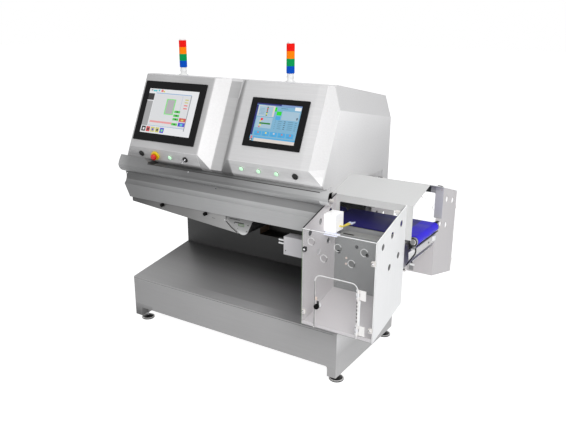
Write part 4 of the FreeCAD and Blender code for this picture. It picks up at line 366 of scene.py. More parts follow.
def clear(name, color, alpha, roughness=0.08, shine=0.5):
    """Clear polycarbonate with faint handling marks; hinge leaves on its outside are opaque."""
    paint = Paint(name, color, roughness)
    marks = paint.noise(9.0)
    paint.set("Roughness", paint.spread(marks, roughness, roughness + 0.08, 0.45, 0.8))
    film = paint.spread(marks, alpha * 0.9, alpha * 1.15)
    paint.set("Specular IOR Level", shine)
    for corners in (zone(x0=LEAF_X, y1=-LEAF_FACE), zone(x0=LEAF_X, y0=LEAF_FACE)):
        film = paint.math("MAXIMUM", film, paint.inside(*corners, BORDER_SOFT / 2))
    paint.set("Alpha", film)
    paint.set("IOR", 1.45)
    return paint.material


def belt_material():
    """Blue conveyor belt with a fine fabric imprint and scuffed tracks, brighter at its free end; short of
    it, painted shade darkens the belts under the housing and the hood.
    """
    paint = Paint("belt_blue", (56, 50, 150), 0.42)
    # Painted shade: the belts are darker short of x 0.888, under the housing and the hood.
    paint.patch(paint.inside(*zone(x0=0.888), 0.006), (60, 46, 232))
    paint.set("Specular IOR Level", 0.1)
    weave = paint.noise(1600.0, (1, 0.5, 1), 2.0)
    tracks = paint.noise(20.0, (0.05, 1, 1), 3.0)
    paint.tint(paint.spread(weave, 0.9, 1.08), paint.spread(tracks, 0.86, 1.1))
    paint.set("Roughness", paint.spread(tracks, 0.36, 0.52))
    paint.bump(weave, 0.2, 0.0004)
    return paint.material


def lens_material():
    """Signal tower lenses, coloured by height, with fine upright ribs."""
    low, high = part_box("tower_lenses")
    paint = Paint("tower_lens", PURE_WHITE, 0.3)
    level = paint.spread(paint.along("Z"), 0.0, 1.0, low.z, high.z)
    colours = ((8, 74, 176), (8, 142, 76), (238, 124, 8), (222, 26, 20))
    colour = paint.ramp(level, [(index / 4, srgb(colour)) for index, colour in enumerate(colours)])
    colour.node.color_ramp.interpolation = "CONSTANT"
    for name in ("Base Color", "Emission Color"):
        paint.set(name, colour)
    paint.set("Emission Strength", 0.2)
    paint.set("Specular IOR Level", 0.06)
    paint.bump(paint.noise(500.0, (1, 1, 0.01), 1.0), 0.25, 0.001)
    return paint.material


def place(origin, ex=X_WAY, ey=Y_WAY):
    """Matrix whose local X and Y run along ex and ey."""
    ex, ey = Vector(ex).normalized(), Vector(ey).normalized()
    ez = ex.cross(ey)
    matrix = Matrix((ex, ey, ez)).transposed().to_4x4()
    matrix.translation = Vector(origin)
    return matrix


def console_place(x, up):
    """On a console panel: local Y up the panel, Z out of it."""
    direction = Vector((0, math.sin(LEAN), math.cos(LEAN)))
    return place(Vector((x, *FOLD)) + direction * up, X_WAY, direction)


def facet_place(x):
    """On a button panel at the height of its devices: local Y up the panel, Z out of it."""
    direction = Vector((0, FOLD[0] - PANEL_FOOT[0], FOLD[1] - PANEL_FOOT[1])).normalized()
    return place(Vector((x, *PANEL_FOOT)) + direction * DEVICE_UP, X_WAY, direction)


class Piece:
    """A mesh under construction, made of faces in several named paints."""

    def __init__(self, name, paints):
        self.name = name
        self.paints = paints
        self.points = []
        self.faces = []
        self.marks = []
        self.colours = []

    def add(self, points, faces, colour, matrix=Matrix.Identity(4)):
        base = len(self.points)
        self.points += [matrix @ Vector(p) for p in points]
        self.faces += [[base + i for i in face] for face in faces]
        if colour not in self.colours:
            self.colours.append(colour)
        self.marks += [self.colours.index(colour)] * len(faces)

    def slab(self, x0, x1, y0, y1, z0, z1, colour, matrix=Matrix.Identity(4), chamfer=0.0):
        """Block with a chamfered upper rim."""
        c = chamfer
        low = [(x0, y0, z0), (x1, y0, z0), (x1, y1, z0), (x0, y1, z0)]
        shoulder = [(x, y, z1 - c) for x, y, _ in low]
        top = [(x0 + c, y0 + c, z1), (x1 - c, y0 + c, z1), (x1 - c, y1 - c, z1), (x0 + c, y1 - c, z1)]
        rings = [low, shoulder, top] if c else [low, top]
        points = [p for ring in rings for p in ring]
        faces = [[3, 2, 1, 0]]
        last = 4 * (len(rings) - 1)
        for k in range(0, last, 4):
            faces += [[k + i, k + (i + 1) % 4, k + 4 + (i + 1) % 4, k + 4 + i] for i in range(4)]
        faces.append([last, last + 1, last + 2, last + 3])
        self.add(points, faces, colour, matrix)

    def turned(self, outline, colour, matrix=Matrix.Identity(4), count=20):
        """Body of revolution about local Z from (radius, height) pairs."""
        angles = [2 * math.pi * k / count for k in range(count)]
        turns = [(math.cos(a), math.sin(a)) for a in angles]
        points = [(radius * c, radius * s, height) for radius, height in outline for c, s in turns]
        faces = []
        for ring in range(len(outline) - 1):
            for k in range(count):
                a, b = ring * count + k, ring * count + (k + 1) % count
                faces.append([a, b, b + count, a + count])
        faces.append(list(range(count))[::-1])
        faces.append([(len(outline) - 1) * count + k for k in range(count)])
        self.add(points, faces, colour, matrix)

    def rod(self, start, end, radius, colour, count=10):
        """Round bar between two points."""
        start, end = Vector(start), Vector(end)
        way = end - start
        side = way.orthogonal()
        matrix = place(start, side, way.cross(side))
        self.turned([(radius, 0.0), (radius, way.length)], colour, matrix, count)

    def path(self, points, radius, colour, count=10):
        """Chain of round bars."""
        for start, end in zip(points, points[1:]):
            self.rod(start, end, radius, colour, count)

    def hose(self, points, radius, colour):
        """Chain of bars with round joints."""
        self.path(points, radius, colour)
        angles = [math.pi * k / 6 for k in range(1, 6)]
        for point in points[1:-1]:
            outline = [(radius * math.sin(a), -radius * math.cos(a)) for a in angles]
            self.turned(outline, colour, place(point), 10)

    def ring(self, centre, ex, ey, size, colour, start=0.0, end=360.0, count=24):
        """Flat ring or arc, its plane spanned by ex and ey; size is inner, outer radius, thickness."""
        inner, outer, thick = size
        points, faces = [], []
        steps = max(3, round(count * (end - start) / 360))
        for k in range(steps + 1):
            angle = math.radians(start + (end - start) * k / steps)
            c, s = math.cos(angle), math.sin(angle)
            points += [(inner * c, inner * s, 0), (outer * c, outer * s, 0),
                       (outer * c, outer * s, thick), (inner * c, inner * s, thick)]
        for k in range(steps):
            a, b = 4 * k, 4 * k + 4
            faces += [[a + i, a + (i + 1) % 4, b + (i + 1) % 4, b + i] for i in range(4)]
        faces += [[3, 2, 1, 0], [4 * steps + i for i in range(4)]]
        self.add(points, faces, colour, place(centre, ex, ey))

    def sheet(self, outline, thick, colour, matrix):
        """Flat sheet of any convex outline."""
        count = len(outline)
        points = [(x, y, 0) for x, y in outline] + [(x, y, thick) for x, y in outline]
        faces = [list(range(count))[::-1], list(range(count, 2 * count))]
        faces += [[k, (k + 1) % count, count + (k + 1) % count, count + k] for k in range(count)]
        self.add(points, faces, colour, matrix)

    def disc(self, centre, ex, ey, radius, thick, colour, count=16):
        """Flat disc with a rounded edge, its plane spanned by ex and ey."""
        edge = 0.3 * thick
        outline = [(radius, 0.0), (radius, thick - edge), (radius - edge, thick)]
        self.turned(outline, colour, place(centre, ex, ey), count)

    def make(self, body):
        """Build the mesh with a material slot for each of its paints; the mesh then rides on the body."""
        mesh = bpy.data.meshes.new(self.name)
        mesh.from_pydata([tuple(p) for p in self.points], [], self.faces)
        for colour in self.colours:
            mesh.materials.append(self.paints[colour])
        for polygon, mark in zip(mesh.polygons, self.marks):
            polygon.material_index = mark
        mesh.update()
        obj = bpy.data.objects.new(self.name, mesh)
        bpy.context.scene.collection.objects.link(obj)
        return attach(obj, body)


def make_camera():
    """Camera at the photograph's place."""
    cy, sy = math.cos(CAMERA_YAW), math.sin(CAMERA_YAW)
    cp, sp = math.cos(CAMERA_PITCH), math.sin(CAMERA_PITCH)
    right, ahead = Vector((cy, sy, 0)), Vector((-sy * cp, cy * cp, -sp))
    up = right.cross(ahead)
    cr, sr = math.cos(CAMERA_ROLL), math.sin(CAMERA_ROLL)
    data = bpy.data.cameras.new("camera")
    data.lens = CAMERA_LENS
    data.sensor_width = CAMERA_SENSOR
    camera = bpy.data.objects.new("camera", data)
    camera.matrix_world = place(CAMERA_PLACE, right * cr + up * sr, up * cr - right * sr)
    bpy.context.scene.collection.objects.link(camera)
    bpy.context.scene.camera = camera


def seen_share(tree):
    """One for rays of the camera, of mirrors and through glass, else zero."""
    path = node(tree, "ShaderNodeLightPath")
    share = path.outputs["Is Camera Ray"]
    for kind in ("Is Transmission Ray", "Is Glossy Ray"):
        either = node(tree, "ShaderNodeMath", operation="MAXIMUM")
        tree.links.new(share, either.inputs[0])
        tree.links.new(path.outputs[kind], either.inputs[1])
        share = either.outputs[0]
    return share


def show(tree, lit, seen, output):
    """Light the scene by one shader and show another one to the camera."""
    mix = tree.nodes.new("ShaderNodeMixShader")
    out = tree.nodes.new(output)
    tree.links.new(seen_share(tree), mix.inputs["Fac"])
    tree.links.new(lit.outputs[0], mix.inputs[1])
    tree.links.new(seen.outputs[0], mix.inputs[2])
    tree.links.new(mix.outputs[0], out.inputs["Surface"])


def make_world():
    """Plain surroundings that look white."""
    world = bpy.data.worlds.new("studio")
    bpy.context.scene.world = world
    world.use_nodes = True
    tree = world.node_tree
    tree.nodes.clear()
    ambient = node(tree, "ShaderNodeBackground", Color=AMBIENT_COLOR, Strength=WORLD_LEVEL)
    white = node(tree, "ShaderNodeBackground", Color=WHITE, Strength=1.0)
    show(tree, ambient, white, "ShaderNodeOutputWorld")


def make_floor():
    """Floor that looks white and keeps the object's shadow."""
    material = bpy.data.materials.new("studio_floor")
    material.use_nodes = True
    tree = material.node_tree
    tree.nodes.clear()
    plain = node(tree, "ShaderNodeBsdfDiffuse", Color=(FLOOR_LIT, FLOOR_LIT, FLOOR_LIT, 1))
    seen = node(tree, "ShaderNodeBsdfDiffuse", Color=(FLOOR_SEEN, FLOOR_SEEN, FLOOR_SEEN, 1))
    glow = node(tree, "ShaderNodeEmission", Strength=FLOOR_GLOW)
    both = tree.nodes.new("ShaderNodeAddShader")
    tree.links.new(seen.outputs[0], both.inputs[0])
    tree.links.new(glow.outputs[0], both.inputs[1])
    show(tree, plain, both, "ShaderNodeOutputMaterial")
    corners = [(x * FLOOR_HALF, y * FLOOR_HALF, 0) for x, y in ((-1, -1), (1, -1), (1, 1), (-1, 1))]
    mesh = bpy.data.meshes.new("studio_floor")
    mesh.from_pydata(corners, [], [[0, 1, 2, 3]])
    mesh.materials.append(material)
    plane = bpy.data.objects.new("studio_floor", mesh)
    bpy.context.scene.collection.objects.link(plane)


def make_lamps():
    """Broad soft lamps at a plain level."""
    for name, spot, size, power in LAMPS:
        data = bpy.data.lights.new(name, "AREA")
        data.shape = "DISK"
        data.size = size
        data.energy = power
        lamp = bpy.data.objects.new(name, data)
        lamp.location = spot
        lamp.rotation_mode = "QUATERNION"
        lamp.rotation_quaternion = (Vector(LAMP_AIM) - Vector(spot)).to_track_quat("-Z", "Y")
        bpy.context.scene.collection.objects.link(lamp)


def housing_steel():
    """Upper housing with painted light and shade: bright side and chamfers, darker towards the left console
    and in the recess, button panels painted brighter with a painted shade band at the left one's foot.
    """
    # Grey factors of painted light and shade: along x over the fronts and button panels, along z at their
    # foot, in the recess and over the lit right side.
    across = ((-0.98, 0.66), (-0.7, 0.74), (-0.5, 0.64), (-0.362, 0.67), (-0.35, 1.0), (-0.279, 1.0),
              (-0.276, 0.7), (-0.203, 0.7), (-0.199, 0.42), (-0.124, 0.4), (-0.112, 0.84), (0.1, 0.9),
              (0.365, 0.93), (0.38, 1.0), (0.495, 1.0))
    facets = ((-0.98, 1.0), (-0.7, 1.05), (-0.5, 1.3), (-0.37, 1.36), (-0.2, 1.2), (0.1, 1.14), (0.495, 1.1))
    low_left = ((1.17, 0.33), (1.178, 0.44), (1.187, 0.84), (1.194, 1.37), (1.2016, 1.57), (1.2164, 1.2),
                (1.24, 1.0))
    low_right = ((1.17, 1.0), (1.19, 1.6), (1.21, 1.3), (1.24, 1.0))
    left = {"x1": -0.355, "y1": -0.3}
    right = {"x0": -0.115, "x1": 0.49, "y1": -0.3}
    recess = zone(-0.2785, -0.2005, -0.16, 0.06, None, 1.69)
    shades = ((zone(y1=-0.16), "X", across),
              (zone(z1=1.272, **left), "X", facets),
              (zone(z1=1.272, **right), "X", facets),
              (zone(z1=1.24, **left), "Z", low_left),
              (zone(z1=1.24, **right), "Z", low_right),
              (recess, "X", ((-0.2785, 0.68), (-0.2005, 0.6))),
              (zone(x0=HOUSING_END), "Z", ((1.15, 0.9), (1.35, 1.0), (1.58, 1.26))),
              (zone(x0=HOUSING_END), "Y", ((-0.2, 1.06), (0.2, 0.96), (0.5, 0.94))))
    # Painted light: the right side is lighter.
    patches = ((zone(x0=HOUSING_END), (234, 233, 233)),)
    return steel("housing_steel", (220, 219, 219), 0.42, 0.12, "x", 0.07, 0.03, patches, shades)


def base_steel():
    """Base with painted light, shade and reflections: its top dark towards the column, painted reflections
    along its front, its right end bright, its left leg and front darker to the left.
    """
    # Painted shade and reflections on the top and front; painted light on the right end.
    back = ((-0.36, 1.0), (-0.2, 0.9), (-0.1, 0.74), (0.0, 0.44), (0.1, 0.22), (0.2, 0.14))
    front = ((-0.98, 0.98), (-0.5, 0.97), (-0.25, 1.3), (0.05, 1.35), (0.25, 1.0), (0.38, 1.2), (0.5, 1.5))
    left_of_end = BASE_END - 0.0002
    shades = ((zone(x1=left_of_end, y0=-0.362, y1=0.3, z0=0.325), "Y", back),
              (zone(x1=left_of_end, y0=-0.36, y1=-0.29, z0=0.325), "X", front),
              (zone(x0=BASE_END), "Z", ((0.19, 0.66), (0.29, 1.0))),
              (zone(x1=-0.82, y1=-0.3, z1=0.14), "Z", ((0.07, 0.36), (0.138, 0.85))),
              (zone(x1=left_of_end, y1=-0.3, z1=0.32), "X", ((-0.99, 0.82), (-0.7, 0.9), (-0.2, 1.0))))
    patches = ((zone(x0=BASE_END), (234, 233, 233)),)
    return steel("base_steel", (170, 169, 169), 0.4, 0.18, "x", 0.07, 0.03, patches, shades)


def pan_steel():
    """Pan below the x-ray belt, with painted shade that makes it darker to the left."""
    # Painted shade along x.
    across = ((-0.98, 0.13), (-0.9, 0.15), (-0.7, 0.35), (-0.5, 0.42), (-0.3, 0.64), (-0.1, 0.84))
    return steel("pan_steel", (184, 183, 182), 0.42, 0.12, "x", 0.05, 0.04, (), ((zone(), "X", across),))


def column_steel():
    """Painted shade darkens the front under the housing, more towards its top, and the inside of the niche;
    painted light brightens the right side; the niche's jamb is brown.
    """
    # Painted shade on the front and inside the niche, painted light on the right side, a brown jamb.
    patches = ((zone(y1=0.345), (54, 54, 54)),
               (zone(x0=COLUMN_END), (214, 213, 213)),
               (zone(-0.309, 0.399, 0.225, 0.36, 0.61, 0.8715), (60, 60, 58)),
               (zone(-0.3125, -0.3085, 0.222, 0.334, 0.607, 0.872), (112, 92, 74)),
               (zone(-0.309, 0.399, 0.222, 0.36, 0.602, 0.609), (20, 20, 20)))
    # Painted shade on the front, darker from z 0.64 upward.
    shades = ((zone(x1=0.4, y1=0.22, z0=0.6), "Z", ((0.64, 1.0), (0.76, 0.74))),)
    return steel("column_steel", (196, 195, 195), 0.5, 0.08, "z", 0.08, 0.06, patches, shades)


def lip_steel():
    """Rolled lip with painted light and shade: painted shade in the gutter, darker to the left, bright at its
    right end, its lower roll lighter.
    """
    # Painted shade in the gutter, painted light on the lower roll.
    patches = ((zone(x0=-0.74, x1=LIP_END, z0=1.1685), (58, 58, 58)),
               (zone(z1=1.126), (232, 232, 232)))
    across = ((-0.99, 0.66), (-0.957, 0.58), (-0.9, 0.38), (-0.7, 0.28), (-0.4, 0.2), (-0.1, 0.27),
              (0.2, 0.54), (0.45, 0.7), (0.57, 0.95))
    under = ((-0.99, 0.5), (-0.9, 0.56), (-0.7, 0.7), (-0.45, 1.15), (-0.1, 1.3), (0.2, 0.98),
             (0.45, 0.6), (LIP_END, 0.5))
    shades = ((zone(), "X", across), (zone(x1=LIP_END, z1=1.126), "X", under))
    return steel("lip_steel", (196, 196, 196), 0.42, 0.12, "x", 0.06, 0.03, patches, shades)


def tunnel_door_steel():
    """Tunnel door with painted shade: its hollow darker than the flat below it, both darker to the left."""
    # Painted shade in the hollow.
    patches = ((zone(z0=1.036), (142, 142, 142)),)
    across = ((-0.986, 0.34), (-0.9, 0.36), (-0.6, 0.56), (-0.3, 0.74), (0.0, 0.93), (0.3, 0.93),
              (0.42, 0.84), (0.514, 0.7))
    shades = ((zone(), "X", across),)
    return steel("tunnel_door_steel", (192, 192, 192), 0.42, 0.12, "x", 0.06, 0.03, patches, shades)


def hood_steel():
    """Guard hood with painted light and shade: light outside, painted shade inside, dark deep in and lighter
    at the right end; the drive end plate is light with painted shade at its top, its trough painted black as
    its shadow.
    """
    paint = Paint("hood_steel", (208, 208, 207), 0.42, 0.12)
    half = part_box("exit_hood")[1].y
    slope = (HOOD_RIDGE - HOOD_EAVE) / half
    across = paint.math("ABSOLUTE", paint.along("Y"), 0.0)
    roof = paint.math("SUBTRACT", HOOD_RIDGE - HOOD_SHEET, paint.math("MULTIPLY", across, slope))
    under = paint.spread(paint.math("SUBTRACT", roof, paint.along("Z")), 0.0, 1.0, -0.0004, 0.0004)
    within = paint.math("MULTIPLY", under, paint.spread(across, 1.0, 0.0, half - 0.0018, half - 0.001))
    right = paint.math("MULTIPLY", within, paint.inside(*zone(x0=0.93)))
    deep = paint.math("MULTIPLY", within, paint.inside(*zone(x0=0.5, x1=0.9, z0=0.93)))
    # Painted shade inside the hood, darkest deep in, lighter at its right end.
    paint.patch(within, (176, 175, 178))
    paint.patch(right, (204, 203, 207))
    paint.patch(deep, (44, 50, 50))
    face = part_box("drive_end_plate")[0].y
    # Painted shadow: the trough behind the end plate is black.
    paint.patch(paint.inside(*zone(x1=PLATE_END, y0=face + PLATE_DEEP)), (18, 18, 18))
    grain = paint.noise(GRAIN_SCALE, (LINE_STRETCH, 1, 1), 3.0)
    plate = paint.inside(*zone(x1=PLATE_END, y0=face - 0.001, y1=face + PLATE_DEEP))
    # Painted shade at the end plate's top, under the tunnel door's edge.
    shade = paint.shade("Z", ((0.812, 0.95), (0.828, 0.6), (0.86, 0.45), (0.886, 0.27)))
    paint.tint(paint.spread(grain, 0.95, 1.0), paint.where(plate, shade))
    paint.set("Roughness", paint.spread(grain, 0.36, 0.48))
    paint.bump(grain, 0.06, 0.0002)
    return paint.material


def bin_steel():
    """Bins: light sheet; painted light brightens the front bin's right plate, painted shade makes its back
    wall and floor a little darker.
    """
    # Painted light on the front bin's right plate, painted shade on its back wall and floor.
    patches = ((zone(x0=0.942, y1=0), (248, 248, 248)),
               (zone(0.525, 0.9395, -0.2425, -0.2385, 0.56, 0.899), (143, 145, 144)),
               (zone(0.525, 0.9395, -0.2425, -0.168, 0.8985, 0.91), (196, 196, 192)))
    return steel("bin_steel", (214, 210, 211), 0.4, 0.1, "z", 0.04, 0.03, patches)


def machined_steel():
    """Rails, rollers and hinges; the bin hinges, exit bracket and cradle are light, parts left of x 0.5 above
    z 1.05 darker, and painted shade darkens those at the hood's end.
    """
    patches = ((zone(x0=0.7, z1=0.8665), (232, 231, 230)),
               (zone(x1=0.5, z0=1.05), (150, 150, 150)),
               (zone(x0=0.966, z1=0.8665), (206, 205, 205)),
               (zone(x0=0.8, y1=-0.59), (236, 234, 232)),
               (zone(x0=0.8, y0=0.59), (236, 234, 232)),
               # Painted shade on the parts at the hood's end.
               (zone(x0=0.9, x1=0.9665, z0=0.866), (120, 120, 122)))
    return steel("machined_steel", (178, 178, 180), 0.34, 0.35, "y", 0.05, 0.03, patches)


def clamp_chrome():
    """Panel clamps of light metal; the upper left ones and those of the rear lid are black."""
    patches = ((zone(x1=0.57, z0=0.88, z1=1.0), (16, 16, 17)),
               (zone(y0=0.3, z0=1.05), (16, 16, 17)))
    return steel("clamp_metal", (226, 222, 218), 0.3, 0.3, "x", 0.03, 0.03, patches)


def sheet_groups():
    """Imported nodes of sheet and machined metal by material."""
    return {
        housing_steel(): ("upper_housing",),
        base_steel(): ("base_frame",),
        pan_steel(): ("tunnel_pan",),
        column_steel(): ("column_shell",),
        steel("door_steel", (200, 199, 199), 0.42, 0.15, "z"): ("column_door",),
        lip_steel(): ("cover_lip",),
        tunnel_door_steel(): ("front_door",),
        hood_steel(): ("exit_hood", "drive_end_plate"),
        bin_steel(): ("front_bin", "rear_bin"),
        machined_steel(): ("foot_spindles", "door_hinges", "xray_conveyor_frame", "weigh_conveyor_frame",
                           "reject_conveyor_frame", "xray_idler_roller", "xray_drive_roller",
                           "weigh_idler_roller", "weigh_drive_roller", "reject_idler_roller",
                           "reject_drive_roller"),
        steel("chrome_metal", (214, 214, 216), 0.14, 1.0, "x", 0.02, 0.02): ("column_lock", "key"),
        clamp_chrome(): ("panel_clamps",),
    }


def plastic_groups():
    """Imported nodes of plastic, rubber and glass by material."""
    pale_tip = ((zone(y0=-0.264, y1=0.264), (206, 214, 236)),)
    # Painted bluish shadow on the lower part of the air blocks.
    painted_blue_shadow = ((zone(z1=0.9475), (220, 224, 244)),)
    white_rods = ((zone(x1=VALVE_ROD_END), (240, 240, 240)),)
    green = (196, 244, 204)
    return {
        plastic("black_plastic", (15, 15, 16), 0.5):
            ("cable_inlet", "black_button_left", "black_button_right", "device_bezels"),
        spotted("knob_black", (8, 8, 8), 0.7, 200.0, 0.8, Specular_IOR_Level=0.08):
            ("pan_knob_left", "pan_knob_right", "front_bin_latch", "rear_bin_latch"),
        spotted("foot_black", (20, 20, 21), 0.4, 60.0, 0.92): ("foot_pads",),
        spotted("bezel_black", (22, 22, 23), 0.55, 300.0, 0.9, Specular_IOR_Level=0.08):
            ("display_bezels",),
        Paint("display_glass", (30, 36, 44), 0.08).material: ("display_glass",),
        plastic("stop_yellow", (240, 206, 24), 0.35): ("estop_collar",),
        plastic("stop_red", (214, 24, 22), 0.3): ("estop_head",),
        spotted("button_green", green, 0.25, 60.0, 0.9, 1.05, (), (green, 0.55), Coat_Weight=0.4):
            ("lit_button_1", "lit_button_2", "lit_button_3", "lit_button_4"),
        plastic("tower_white", (236, 236, 235), 0.35): ("tower_bodies",),
        lens_material(): ("tower_lenses",),
        belt_material(): ("conveyor_belts",),
        clear("clear_panel", (236, 236, 238), 0.045): ("bin_panels", "front_bin_door", "rear_bin_door"),
        clear("clear_lid", (120, 122, 126), 0.02, 0.04, 0.12): ("bin_lid_panels",),
        spotted("valve_grey", (202, 200, 202), 0.45, 30.0, 0.96, 1.0, white_rods): ("valve_box",),
        # The air blocks glow a little: painted light that keeps them white.
        spotted("air_white", (252, 252, 252), 0.35, 40.0, 0.97, 1.0, painted_blue_shadow, (PURE_WHITE, 0.26)):
            ("air_blocks",),
        spotted("nozzle_yellow", (226, 208, 92), 0.35, 60.0, 0.94, 1.0, pale_tip): ("air_nozzles",),
        plastic("unit_grey", (104, 108, 112), 0.5):
            ("load_cell", "gearmotors", "xray_generator", "collimator", "detector_array",
             "control_computer", "electrical_plate"),
        plastic("curtain_rubber", (58, 62, 66), 0.7, 0.001): ("tunnel_curtains",),
    }


def paint_nodes():
    """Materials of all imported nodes."""
    for material, names in (*sheet_groups().items(), *plastic_groups().items()):
        for name in names:
            slots = NODES[name].data.materials
            for index in range(len(slots)):
                slots[index] = material
            if not len(slots):
                slots.append(material)


PICTURE_COLOURS = {
    "paper": (238, 239, 241), "mist": (226, 227, 229), "grey": (166, 166, 167),
    "black": (8, 8, 9), "title": (158, 186, 218), "pink": (240, 158, 158),
    "green": (70, 208, 72), "lime": (132, 232, 128), "red": (212, 78, 78),
    "blue": (78, 70, 208), "straw": (212, 206, 120), "cyan": (96, 204, 214),
    "line": (148, 152, 158), "speckle": (184, 180, 184), "gold": (216, 212, 92),
    "rose": (234, 116, 116), "sky": (124, 178, 208), "pale": (166, 196, 214),
    "navy": (12, 12, 112), "steel": (120, 140, 196), "cream": (222, 214, 208),
    "vivid": (4, 218, 20), "leaf": (10, 124, 18), "signal": (230, 10, 16),
    "sun": (244, 226, 10), "azure": (70, 168, 222), "ink": (84, 128, 152),
    "orange": (196, 112, 84), "dark": (30, 44, 56),
}


def left_picture():
    """Layout of the left display: rectangles as (left, bottom, right, top, colour), in shares."""
    rows = [(0, 0, 1, 1, "paper"), (0, 0.16, 0.12, 0.72, "grey"), (0, 0.74, 0.125, 0.89, "black"),
            (0.15, 0.895, 0.87, 0.915, "title"), (0.135, 0.18, 0.86, 0.885, "mist"),
            (0.86, 0.12, 0.875, 0.9, "line"), (0.13, 0.165, 0.86, 0.178, "title"),
            (0.15, 0.245, 0.6, 0.285, "pink"), (0.4, 0.445, 0.585, 0.795, "lime"),
            (0.42, 0.465, 0.565, 0.775, "speckle"), (0.7, 0.3, 0.705, 0.88, "title"),
            (0.03, 0.95, 0.07, 0.98, "line"), (0.08, 0.935, 0.16, 0.975, "cyan"),
            (0.18, 0.945, 0.215, 0.985, "cyan"), (0.24, 0.935, 0.285, 0.985, "rose"),
            (0.29, 0.93, 0.32, 0.965, "gold")]
    keys = (0.50, 0.415, 0.335, 0.225)
    rows += [(0.60, v, 0.715, v + 0.052, "green") for v in keys]
    rows += [(0.645, v + 0.012, 0.675, v + 0.04, "black") for v in keys]
    rows += [(0.73, 0.32, 0.86, 0.40, "red"), (0.77, 0.335, 0.82, 0.37, "gold"),
             (0.73, 0.215, 0.86, 0.30, "blue"), (0.77, 0.23, 0.82, 0.28, "cyan")]
    side = ((0.79, "straw"), (0.73, "straw"), (0.665, "rose"), (0.60, "rose"))
    rows += [(0.76, v, 0.83, v + 0.025, name) for v, name in side]
    icons = ("black", "red", "straw", "straw", "blue")
    rows += [(0.02 + 0.095 * k, 0.03, 0.10 + 0.095 * k, 0.145, name) for k, name in enumerate(icons)]
    marks = ("paper", "black", "blue", "dark", "lime")
    rows += [(0.045 + 0.095 * k, 0.06, 0.08 + 0.095 * k, 0.11, name) for k, name in enumerate(marks)]
    return rows


def right_picture():
    """Layout of the right display, as for the left one."""
    rows = [(0, 0, 1, 1, "sky"), (0, 0.965, 0.55, 1, "navy"), (0.55, 0.975, 1, 1, "steel"),
            (0.2, 0.94, 1, 0.96, "steel"), (0, 0.16, 0.04, 0.955, "navy"),
            (0.05, 0.665, 0.425, 0.945, "cream"), (0.07, 0.675, 0.385, 0.925, "pale"),
            (0.06, 0.36, 0.42, 0.64, "pale"), (0.155, 0.555, 0.205, 0.615, "signal"),
            (0.14, 0.52, 0.165, 0.555, "sun"), (0.14, 0.46, 0.39, 0.5, "leaf"),
            (0.14, 0.415, 0.19, 0.445, "sun"), (0.14, 0.37, 0.165, 0.405, "signal"),
            (0.425, 0.81, 0.47, 0.92, "vivid"), (0.48, 0.72, 0.585, 0.82, "vivid"),
            (0.475, 0.6, 0.58, 0.7, "azure"), (0.6, 0.61, 0.975, 0.84, "pale"),
            (0.855, 0.875, 0.99, 0.96, "paper"), (0.93, 0.64, 0.955, 0.7, "dark"),
            (0.555, 0.9, 0.7, 0.908, "dark"), (0.1, 0.0, 1, 0.085, "cream"), (0.0, 0.085, 1, 0.12, "azure"),
            (0.0, 0.0, 0.06, 0.06, "dark"), (0.015, 0.015, 0.045, 0.045, "paper"),
            (0.02, 0.07, 0.06, 0.13, "rose")]
    lamps = ("leaf", "signal", "leaf", "signal", "leaf", "sun", "leaf")
    rows += [(0.245, 0.89 - 0.035 * k, 0.275, 0.92 - 0.035 * k, name) for k, name in enumerate(lamps)]
    rows += [(0.09, 0.86 - 0.035 * k, 0.2, 0.866 - 0.035 * k, "ink") for k in range(5)]
    for k in range(5):
        v = 0.565 - 0.048 * k
        rows += [(0.55, v, 0.64 - 0.012 * (k % 2), v + 0.012, "ink"), (0.68, v, 0.715, v + 0.014, "dark"),
                 (0.77, v, 0.88, v + 0.012, "ink"), (0.92, v - 0.01, 0.96, v + 0.004, "ink"),
                 (0.48, v, 0.5, v + 0.012, "ink")]
    for k, name in enumerate(("orange", "sun", "cream", "orange", "orange")):
        u = 0.075 + 0.178 * k
        rows += [(u, 0.155, u + 0.16, 0.275, "azure"), (u + 0.07, 0.22, u + 0.105, 0.255, name),
                 (u + 0.03, 0.18, u + 0.09, 0.188, "ink")]
    return rows


def picture_paint(name, color):
    """Lit colour of a display picture."""
    low, high = 0.97 * PICTURE_DIM, 1.03 * PICTURE_DIM
    return spotted("picture_" + name, color, 0.3, 700.0, low, high, glow=(color, PICTURE_GLOW))


def make_picture(name, display, rows, paints):
    """Display picture of thin layered rectangles on the glass."""
    x, up, width, height = display
    matrix = console_place(x, up)
    piece = Piece(name, paints)
    for layer, (u0, v0, u1, v1, colour) in enumerate(rows):
        z = PICTURE_LIFT + (LAYER_STEP if layer else 0.0) * (1 + layer / len(rows))
        shares = ((u0, v0), (u1, v0), (u1, v1), (u0, v1))
        corners = [((u - 0.5) * width, (v - 0.5) * height, z) for u, v in shares]
        piece.add(corners, [[0, 1, 2, 3]], colour, matrix)
    piece.make("frame")


def make_pictures():
    """Both display pictures."""
    paints = {name: picture_paint(name, colour) for name, colour in PICTURE_COLOURS.items()}
    make_picture("left_picture", LEFT_DISPLAY, left_picture(), paints)
    make_picture("right_picture", RIGHT_DISPLAY, right_picture(), paints)


# Colours of the fine parts and their roughness
TRIM_COLOURS = {
    "black": ((14, 14, 15), 0.5), "white": ((250, 250, 250), 0.4), "light": ((232, 230, 228), 0.4),
    "beige": ((226, 208, 196), 0.5), "grey": ((140, 140, 140), 0.5), "blue": ((58, 60, 140), 0.5),
    "yellow": ((238, 214, 70), 0.4), "pale": ((206, 214, 240), 0.4), "seam": ((74, 76, 72), 0.6),
    "brown": ((128, 84, 60), 0.5), "moss": ((112, 130, 104), 0.4),
}


